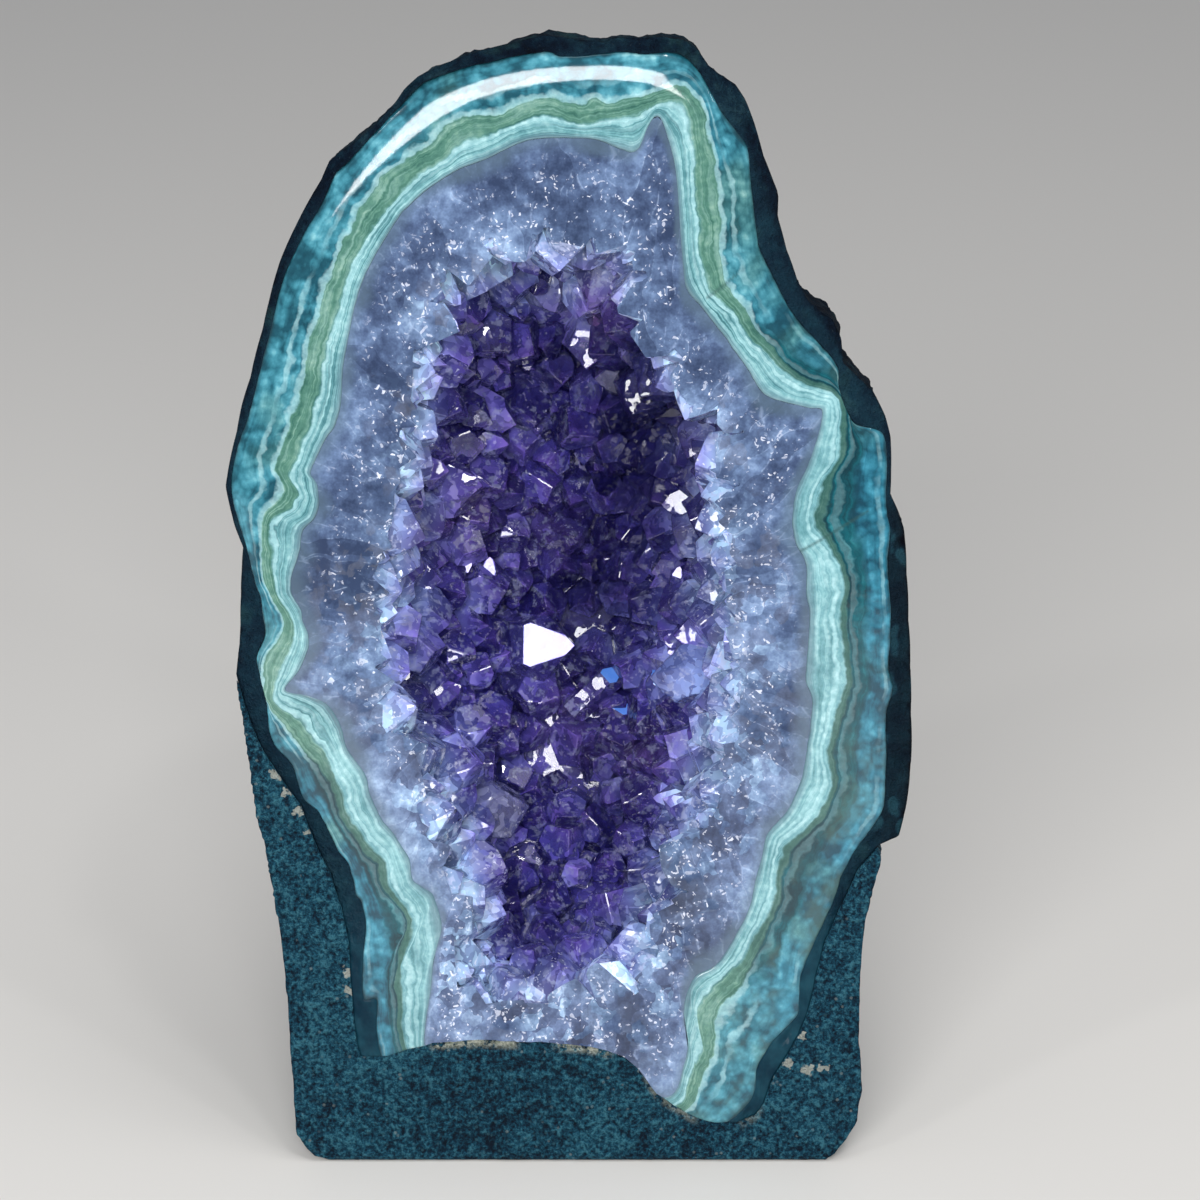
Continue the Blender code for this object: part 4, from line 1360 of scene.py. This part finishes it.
def agate_look():
    w = Web("agate_look")
    at = w.here()
    t0, along, side = w.attr("band"), w.attr("along"), w.attr("side")
    wave = w.math("SUBTRACT", w.noise(at, 150, 2.5, 0.55), 0.5)
    ripple = w.math("SUBTRACT", w.noise(at, 480, 2.0, 0.5), 0.5)
    calm = w.span(w.math("ABSOLUTE", w.math("SUBTRACT", t0, 1.5)), 0.0, 1.5, 1.0, 0.25)
    t = w.math("ADD", t0, w.math("MULTIPLY", calm, w.math("ADD", w.math("MULTIPLY", wave, 0.75), w.math("MULTIPLY", ripple, 0.30))))
    # growth layers: noise drawn out along the band
    lam = w.noise(w.join(w.math("MULTIPLY", along, 30.0), w.math("MULTIPLY", t, 6.0), 0.0), 1.0, 2.5, 0.6, dims="2D")
    thin = w.noise(w.join(w.math("MULTIPLY", along, 50.0), w.math("MULTIPLY", t, 19.0), 3.0), 1.0, 1.5, 0.5, dims="2D")
    haze = w.noise(at, 95, 3, 0.6)
    # pale laminated zone next to the quartz
    pale = w.ramp(w.math("ADD", w.math("MULTIPLY", haze, 0.30), w.math("ADD", w.math("MULTIPLY", lam, 0.35), w.math("MULTIPLY", thin, 0.35))), [
        (0.36, (0.040, 0.140, 0.160)), (0.46, (0.082, 0.225, 0.250)), (0.54, (0.145, 0.330, 0.355)), (0.66, (0.28, 0.51, 0.54))])
    pale = w.mix(w.math("MULTIPLY", side, 0.50), pale, w.ramp(haze, [(0.38, (0.085, 0.240, 0.275)), (0.62, (0.24, 0.47, 0.51))]))
    # olive-green band
    green = w.ramp(w.math("ADD", w.math("MULTIPLY", lam, 0.5), w.math("MULTIPLY", haze, 0.5)), [
        (0.36, (0.030, 0.110, 0.086)), (0.50, (0.074, 0.190, 0.148)), (0.64, (0.165, 0.310, 0.265))])
    green = w.mix(w.math("MULTIPLY", side, 0.72), green, (0.014, 0.066, 0.064))
    # mottled outer zone: round pale growths in darker teal
    warp = w.vec("SCALE", w.vec("SUBTRACT", w.noise(at, 160, 2, 0.5, out="Color"), (0.5, 0.5, 0.5)), scale=0.0036)
    where = w.vec("ADD", at, warp)
    blobs = w.cells(where, 210, "F1")
    small = w.cells(where, 480, "F1")
    moss = w.noise(where, 85, 3, 0.62)
    tone = w.math("ADD", w.math("MULTIPLY", moss, 0.95),
                  w.math("ADD", w.math("MULTIPLY", blobs, -0.30), w.math("MULTIPLY", small, -0.24)))
    tone = w.math("ADD", tone, w.math("MULTIPLY", w.math("SUBTRACT", lam, 0.5), 0.30))
    mottle = w.ramp(w.math("ADD", tone, 0.24), [
        (0.28, (0.006, 0.058, 0.086)), (0.40, (0.020, 0.130, 0.178)), (0.52, (0.044, 0.208, 0.272)),
        (0.62, (0.080, 0.285, 0.355)), (0.78, (0.20, 0.45, 0.50))])
    mottle = w.mix(w.math("MULTIPLY", side, 0.85), mottle, (0.48, 0.77, 0.88), "MULTIPLY")
    olive = w.span(w.noise(at, 42, 2, 0.6), 0.50, 0.66)
    mottle = w.mix(w.math("MULTIPLY", olive, 0.55), mottle, w.ramp(w.math("ADD", tone, 0.12), [
        (0.30, (0.020, 0.065, 0.052)), (0.50, (0.068, 0.150, 0.108)), (0.66, (0.16, 0.27, 0.20))]))
    # darker blue-teal inner part of the mottled zone, broad on the right and low left
    deep = w.ramp(w.math("ADD", w.math("MULTIPLY", lam, 0.5), w.math("MULTIPLY", moss, 0.5)), [
        (0.42, (0.001, 0.028, 0.040)), (0.58, (0.002, 0.072, 0.094)), (0.72, (0.016, 0.150, 0.180))])
    deep_edge = w.math("ADD", 2.0, w.math("MULTIPLY", side, 0.36))
    in_deep = w.math("MULTIPLY", w.span(t, w.math("SUBTRACT", deep_edge, 0.10), w.math("ADD", deep_edge, 0.14), 1.0, 0.0),
                     w.span(side, 0.02, 0.3))
    outer = w.mix(in_deep, mottle, deep)
    narrow = w.math("MULTIPLY", side, 0.26)
    colour = w.mix(w.span(w.math("SUBTRACT", t, narrow), 0.86, 1.10), pale, green)
    colour = w.mix(w.span(w.math("ADD", t, narrow), 1.84, 2.06), colour, outer)
    white = (0.33, 0.56, 0.59)
    left_only = w.span(side, 0.0, 0.7, 1.0, 0.25)
    fade = w.span(w.noise(at, 70, 2, 0.5), 0.34, 0.58)
    far_side = w.math("MULTIPLY", fade, w.span(side, 0.0, 0.6, 1.0, 0.0))
    thin_rim = w.math("MULTIPLY", side, w.span(haze, 0.42, 0.60))
    fade2 = w.span(w.noise(at, 110, 2, 0.5), 0.30, 0.60)
    for place, half, strength, near in ((0.28, 0.09, 0.45, fade2), (0.60, 0.10, 0.45, fade2), (0.86, 0.12, 0.60, None),
                                  (2.00, 0.14, 0.50, left_only), (2.40, 0.09, 0.40, far_side), (2.84, 0.07, 0.25, thin_rim)):
        m = w.math("MULTIPLY", w.line(t, place, half), strength)
        if near is not None:
            m = w.math("MULTIPLY", m, near)
        colour = w.mix(m, colour, white)
    speck = w.noise(at, 620, 2, 0.6)
    colour = w.mix(0.9, colour, w.ramp(speck, [(0.30, (0.70, 0.78, 0.80)), (0.50, (1.0, 1.0, 1.0)), (0.70, (1.45, 1.25, 1.22))]), "MULTIPLY")
    # grey passage into the quartz, dark contact with the basalt
    colour = w.mix(w.span(t0, 0.0, 0.36, 0.75, 0.0), colour, (0.100, 0.165, 0.210))
    colour = w.mix(w.math("MULTIPLY", w.span(t, 2.90, 3.04), 0.8), colour, (0.006, 0.030, 0.040))
    # ochre tint low on the right
    ochre = w.math("MULTIPLY", w.attr("ochre"), w.span(w.noise(at, 110, 3, 0.6), 0.42, 0.66))
    colour = w.mix(w.math("MULTIPLY", ochre, 0.16), colour, (0.16, 0.26, 0.18))
    # fine cracks
    colour = w.mix(w.math("MULTIPLY", w.attr("crack"), 0.6), colour, (0.02, 0.06, 0.06))
    rough = w.math("ADD", 0.05, w.math("MULTIPLY", w.noise(at, 300, 2, 0.5), 0.06))
    return w.set(Base_Color=colour, Roughness=rough, Normal=w.bump(w.noise(at, 260, 2, 0.5), 0.04, 0.0006),
                 Specular_IOR_Level=0.5)


def amethyst_look():
    w = Web("amethyst_look")
    at = w.here()
    own, tip, dice = w.attr("own"), w.attr("tip"), w.attr("dice")
    inward, behind, along = w.attr("inward"), w.attr("behind"), w.attr("along")
    dark, milky, calm = w.attr("dark"), w.attr("milk"), w.attr("calm")
    # the polished zone: crystals side by side seen along their length, with veils and flecks
    bend = w.math("SUBTRACT", w.noise(at, 120, 1, 0.5), 0.5)
    column = w.join(w.math("ADD", w.math("MULTIPLY", along, 170.0), w.math("MULTIPLY", bend, 1.3)),
                    w.math("MULTIPLY", inward, 60.0), 0.0)
    seam = w.cells(column, 1.0, "DISTANCE_TO_EDGE", dims="2D")
    tone = w.parts(w.cells(column, 1.0, "F1", out="Color", dims="2D"))[0]
    cloud = w.noise(at, 60, 2.5, 0.62)
    veil = w.noise(at, 260, 3.0, 0.74)
    milk = w.math("ADD", w.math("MULTIPLY", cloud, 0.50),
                  w.math("ADD", w.math("MULTIPLY", veil, 0.50), w.math("MULTIPLY", w.math("SUBTRACT", tone, 0.5), 0.10)))
    milk = w.math("ADD", milk, w.math("MULTIPLY", milky, 0.045))
    milk = w.math("SUBTRACT", milk, w.math("MULTIPLY", w.attr("dim"), 0.07))
    milk = w.math("ADD", milk, w.math("MULTIPLY", w.math("SUBTRACT", w.noise(at, 30, 1, 0.5), 0.5), 0.24))
    flat = w.ramp(milk, [(0.34, (0.024, 0.042, 0.098)), (0.46, (0.058, 0.092, 0.185)),
                         (0.56, (0.116, 0.178, 0.320)), (0.66, (0.212, 0.312, 0.500)), (0.78, (0.42, 0.58, 0.80))])
    flat = w.mix(w.math("MULTIPLY", w.span(seam, 0.0, 0.05, 1.0, 0.0), w.span(veil, 0.46, 0.62, 0.0, 0.28)),
                 flat, (0.48, 0.60, 0.84))
    edge = w.span(w.math("ADD", inward, w.math("MULTIPLY", w.math("SUBTRACT", cloud, 0.5), 0.010)), 0.0, 0.0048, 1.0, 0.0)
    flat = w.mix(w.math("MULTIPLY", edge, 0.62), flat, (0.088, 0.140, 0.190))
    # loose crystals: pale at the root, violet at the tip, darker further in and further from the mouth, partly the
    # stone's deeper violet and partly painted shade of the deep cavity
    core = w.attr("core")
    far = w.math("ADD", w.span(behind, 0.002, 0.040, 0.0, 0.54, "LINEAR"), w.span(core, 0.0, 1.2, 0.0, 0.40, "LINEAR"))
    far = w.math("ADD", far, w.math("MULTIPLY", w.math("SUBTRACT", dice, 0.5), 0.42))
    far = w.math("ADD", far, w.math("MULTIPLY", w.math("SUBTRACT", cloud, 0.5), 0.60))
    far = w.math("SUBTRACT", far, w.math("MULTIPLY", milky, 0.26))
    inside = w.span(w.math("ADD", core, w.math("MULTIPLY", behind, 9.0)), 0.05, 0.62)
    far = w.math("ADD", far, w.math("MULTIPLY", w.math("MULTIPLY", w.span(tip, 0.3, 1.0), inside), 0.18))
    body = w.ramp(far, [(0.12, (0.300, 0.440, 0.700)), (0.36, (0.275, 0.360, 0.740)), (0.56, (0.190, 0.210, 0.660)),
                        (0.78, (0.115, 0.098, 0.500)), (1.04, (0.048, 0.040, 0.290))])
    body = w.mix(w.math("MULTIPLY", w.span(tip, 0.60, 1.05), 0.40), body, (0.200, 0.110, 0.620))
    # painted light and shade: each facet multiplied brighter or darker by its own value, with a painted highlight on
    # facets turned to the lamp
    facet_light = w.math("ADD", 0.62, w.math("MULTIPLY", w.math("SUBTRACT", w.attr("facet_light"), 0.62), w.span(inside, 0.0, 1.0, 0.60, 1.0)))
    body = w.mix(1.0, body, w.ramp(facet_light, [(0.0, (0.30, 0.30, 0.40)), (0.50, (0.90, 0.90, 0.92)), (0.80, (1.6, 1.6, 1.45)), (1.0, (2.8, 2.8, 2.1))]), "MULTIPLY")
    body = w.mix(w.math("MULTIPLY", w.attr("white"), w.span(tip, 0.4, 1.0, 1.0, 0.45)), body, (0.42, 0.47, 0.78))
    rose = w.math("MAXIMUM", w.math("MULTIPLY", w.attr("rose"), 0.55), w.math("MULTIPLY", w.attr("pink"), 0.45))
    body = w.mix(rose, body, (0.340, 0.190, 0.520))
    body = w.mix(w.math("MULTIPLY", w.attr("blue"), 0.60), body, (0.240, 0.330, 0.760))
    # painted shade darkening the deep cavity, partly a darker colour zone of the stone
    body = w.mix(w.math("MULTIPLY", dark, 0.94), body, (0.003, 0.004, 0.044))
    # breaks inside the stone, each with its own lean; each cell is also painted brighter or darker, as light and shade
    # on these inner facets
    shard_at = w.vec("ADD", at, w.vec("SCALE", w.vec("SUBTRACT", w.noise(at, 300, 1, 0.6, out="Color"), (0.5, 0.5, 0.5)), scale=0.0050))
    broken = w.math("MULTIPLY", w.attr("broken"), w.span(own, 0.0, 1.0, 1.0, 0.0, "LINEAR"))
    broken = w.math("MULTIPLY", broken, w.span(inward, 0.0015, 0.0080))
    inner = w.cells(shard_at, w.span(own, 0.0, 1.0, 270.0, 460.0, "LINEAR"), "F1", out="Color")
    flat = w.mix(broken, flat, w.ramp(w.parts(inner)[2], [(0.0, (0.42, 0.40, 0.50)), (0.45, (0.90, 0.88, 0.96)), (0.80, (1.5, 1.45, 1.35)), (1.0, (2.3, 2.2, 1.8))]), "MULTIPLY")
    # painted light and shade cell by cell on the loose crystals as well
    body = w.mix(w.span(calm, 0.0, 1.0, 1.0, 0.0, "LINEAR"), body,
                 w.ramp(w.parts(inner)[2], [(0.0, (0.60, 0.60, 0.68)), (0.6, (1.0, 1.0, 1.0)), (1.0, (1.7, 1.7, 1.45))]), "MULTIPLY")
    streak = w.noise(at, 380, 2.0, 0.70)
    veins = w.math("MULTIPLY", w.span(streak, 0.52, 0.66), w.span(far, 0.1, 0.9, 0.60, 0.36))
    veins = w.math("MULTIPLY", veins, w.span(dark, 0.0, 0.8, 1.0, 0.12))
    body = w.mix(veins, body, (0.56, 0.62, 0.90))
    shade = w.math("MULTIPLY", w.span(cloud, 0.36, 0.50, 0.60, 0.0), w.span(inside, 0.0, 1.0, 0.25, 1.0))
    body = w.mix(shade, body, (0.022, 0.018, 0.140))
    # painted highlight: bright blue glints painted onto single facets turned away from the lamp
    body = w.mix(w.math("MULTIPLY", w.attr("sky"), 0.85), body, (0.060, 0.230, 0.680))
    colour = w.mix(own, flat, body)
    # painted sparkle: bright white flecks painted into the colour as highlights of flat breaks and healed cracks
    # inside the stone
    zone = w.math("MULTIPLY", w.span(inward, 0.0015, 0.012, 0.0, 1.0), w.span(behind, 0.0, 0.030, 1.0, 0.40))
    zone = w.math("MULTIPLY", zone, w.span(calm, 0.0, 1.0, 1.0, 0.0, "LINEAR"))
    painted_sparkle = None
    for size, share, strength in ((620, 0.982, 0.50), (1700, 0.930, 0.70)):
        cell = w.parts(w.cells(shard_at, size, "F1", out="Color"))
        lit = w.span(w.math("ADD", w.math("MULTIPLY", cell[0], w.span(veil, 0.36, 0.60, 0.90, 1.02)), w.math("MULTIPLY", milky, 0.022)),
                     share, share + 0.02)
        lit = w.math("MULTIPLY", w.math("MULTIPLY", lit, strength), w.span(cell[1], 0.0, 1.0, 0.45, 1.0))
        painted_sparkle = lit if painted_sparkle is None else w.math("MAXIMUM", painted_sparkle, lit)
    painted_sparkle = w.math("MULTIPLY", w.math("MULTIPLY", painted_sparkle, zone), w.span(dark, 0.0, 0.9, 1.0, 0.2))
    colour = w.mix(painted_sparkle, colour, (0.86, 0.88, 1.0))
    clear = w.math("ADD", w.span(own, 0.0, 1.0, 0.12, 0.0, "LINEAR"),
                   w.math("MULTIPLY", own, w.span(far, 0.1, 0.9, 0.16, 0.55)))
    clear = w.math("MULTIPLY", clear, w.span(w.math("MAXIMUM", painted_sparkle, calm), 0.0, 1.0, 1.0, 0.2))
    # facets inside the stone: each little cell leans its own way
    lean = w.vec("SUBTRACT", inner, (0.5, 0.5, 0.5))
    amount = w.math("ADD", w.math("MULTIPLY", own, w.span(behind, 0.0, 0.040, 0.50, 0.22)), w.math("MULTIPLY", broken, 0.42))
    amount = w.math("MULTIPLY", amount, w.span(calm, 0.0, 1.0, 1.0, 0.0, "LINEAR"))
    lean = w.vec("SCALE", lean, scale=amount)
    geo = w.tree.nodes.new("ShaderNodeNewGeometry")
    normal = w.vec("NORMALIZE", w.vec("ADD", geo.outputs["Normal"], lean))
    rough = w.span(own, 0.0, 1.0, 0.07, 0.05, "LINEAR")
    w.set(Base_Color=colour, Roughness=rough, Normal=normal, IOR=1.54, Transmission_Weight=clear)
    fog = w.tree.nodes.new("ShaderNodeVolumeAbsorption")
    fog.inputs["Color"].default_value = (0.44, 0.42, 0.92, 1)
    fog.inputs["Density"].default_value = 30.0
    w.tree.links.new(fog.outputs[0], w.end.inputs["Volume"])
    return w.mat


CHIPS = [(267, 747, 2.6), (278, 775, 3.0), (287, 793, 2.4), (298, 813, 2.6), (309, 832, 2.0), (348, 972, 2.6),
         (349, 990, 2.4), (788, 1064, 2.6), (806, 1070, 3.0), (822, 1069, 2.2), (804, 1037, 1.8), (780, 1060, 1.6)]


def cement_look():
    w = Web("cement_look")
    at = w.here()
    sand = w.noise(at, 820, 3, 0.78)
    lump = w.noise(at, 240, 2, 0.6)
    broad = w.noise(at, 26, 2, 0.55)
    tone = w.math("ADD", w.math("MULTIPLY", sand, 0.66), w.math("ADD", w.math("MULTIPLY", lump, 0.20), w.math("MULTIPLY", broad, 0.14)))
    base = w.ramp(tone, [(0.40, (0.0010, 0.0090, 0.0220)), (0.47, (0.0034, 0.0360, 0.0680)),
                         (0.53, (0.0110, 0.0860, 0.1430)), (0.61, (0.050, 0.200, 0.270))])
    grains = w.parts(w.cells(at, 1050, "F1", out="Color"))
    near = w.span(w.cells(at, 1050, "F1"), 0.25, 0.55, 1.0, 0.0)
    speck = w.math("MULTIPLY", w.span(grains[0], 0.80, 0.90), near)
    base = w.mix(w.math("MULTIPLY", speck, 0.40), base, (0.060, 0.190, 0.250))
    bright = w.math("MULTIPLY", w.span(grains[1], 0.975, 0.99), near)
    base = w.mix(w.math("MULTIPLY", bright, 0.5), base, (0.28, 0.34, 0.34))
    # pale grit along the top edge
    edge, grit = w.attr("edge"), w.attr("grit")
    crumb = w.noise(at, 520, 3, 0.65)
    m = w.math("MULTIPLY", w.math("MULTIPLY", w.span(edge, 0.0002, 0.0026, 1.0, 0.0), grit), w.span(crumb, 0.40, 0.54))
    base = w.mix(w.math("MULTIPLY", m, 0.85), base, w.mix(w.span(sand, 0.4, 0.6), (0.34, 0.38, 0.30), (0.70, 0.70, 0.58)))
    # small white breaks
    shift = w.vec("SCALE", w.vec("SUBTRACT", w.noise(at, 420, 2, 0.6, out="Color"), (0.5, 0.5, 0.5)), scale=0.0046)
    q = w.vec("ADD", at, shift)
    chips = None
    for px, py, size in CHIPS:
        u, v = sheet(px, py)
        c = world(np.float64(u), np.float64(0.0), np.float64(v))
        d = w.vec("DISTANCE", q, tuple(float(x) for x in c), out=1)
        one = w.span(d, size * 0.0004, size * 0.00055, 1.0, 0.0)
        chips = one if chips is None else w.math("MAXIMUM", chips, one)
    base = w.mix(w.math("MULTIPLY", chips, 0.8), base, (0.52, 0.54, 0.48))
    height = w.math("ADD", w.math("MULTIPLY", sand, 0.6), w.math("MULTIPLY", lump, 0.7))
    return w.set(Base_Color=base, Roughness=0.82, Normal=w.bump(height, 1.0, 0.0085), Specular_IOR_Level=0.14)


crust.data.materials.append(basalt_look())
agate.data.materials.append(agate_look())
druse.data.materials.append(amethyst_look())
cement.data.materials.append(cement_look())

for obj, node in ((crust, "basalt_rind"), (agate, "agate_band"), (druse, "amethyst_druse"), (cement, "cement_base")):
    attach(obj, "root")
    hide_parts(node)
for obj in (crust, cement):
    obj.data.shade_smooth()
agate.data.shade_smooth()

# ============================================================ floor and light
bpy.ops.mesh.primitive_plane_add(size=6.0, location=(0, 0.8, 0))
floor = bpy.context.object
floor.name = "floor"
floor.data.materials.append(plain("pale_floor", (0.72, 0.70, 0.67), 0.55))

world_data = bpy.data.worlds.new("studio")
bpy.context.scene.world = world_data
world_data.use_nodes = True
bg = world_data.node_tree.nodes["Background"]
bg.inputs[0].default_value = (0.92, 0.95, 1.0, 1)
bg.inputs[1].default_value = 0.34


def lamp(name, at, aim, size, power, colour=(1, 1, 1), size_y=None):
    data = bpy.data.lights.new(name, "AREA")
    data.energy = power
    data.size = size
    if size_y:
        data.shape = "RECTANGLE"
        data.size_y = size_y
    data.color = colour
    obj = bpy.data.objects.new(name, data)
    obj.location = at
    obj.rotation_euler = (Vector(aim) - Vector(at)).to_track_quat("-Z", "Y").to_euler()
    bpy.context.scene.collection.objects.link(obj)
    return obj


lamp("window", WINDOW, (0, 0, 0.14), 1.1, 36, size_y=0.60)
lamp("top", (0.3, -0.4, 1.5), (0, 0, 0.1), 1.0, 6)
for i, at in enumerate([(0.9, -1.2, 1.0), (0.35, -1.0, 1.5), (-1.0, -1.1, 1.2)]):
    lamp(f"spark_{i}", at, (0, 0, 0.14), 0.13, 2.2)

# ==================================================================== camera
cam_data = bpy.data.cameras.new("camera")
cam = bpy.data.objects.new("camera", cam_data)
bpy.context.scene.collection.objects.link(cam)
cam.location = Vector(EYE)
cam.rotation_euler = (math.pi / 2 - PITCH, 0, 0)
cam_data.sensor_fit = "HORIZONTAL"
cam_data.sensor_width = 36.0
cam_data.lens = 36.0 * SHEET_DIST / (SHEET_UNIT * 1200)
cam_data.clip_start = 0.05
bpy.context.scene.camera = cam
bpy.context.scene.view_settings.view_transform = "Standard"
paths = bpy.context.scene.cycles
paths.max_bounces = 5
paths.diffuse_bounces = 2
paths.glossy_bounces = 2
paths.transmission_bounces = 4
paths.transparent_max_bounces = 2
paths.use_light_tree = False
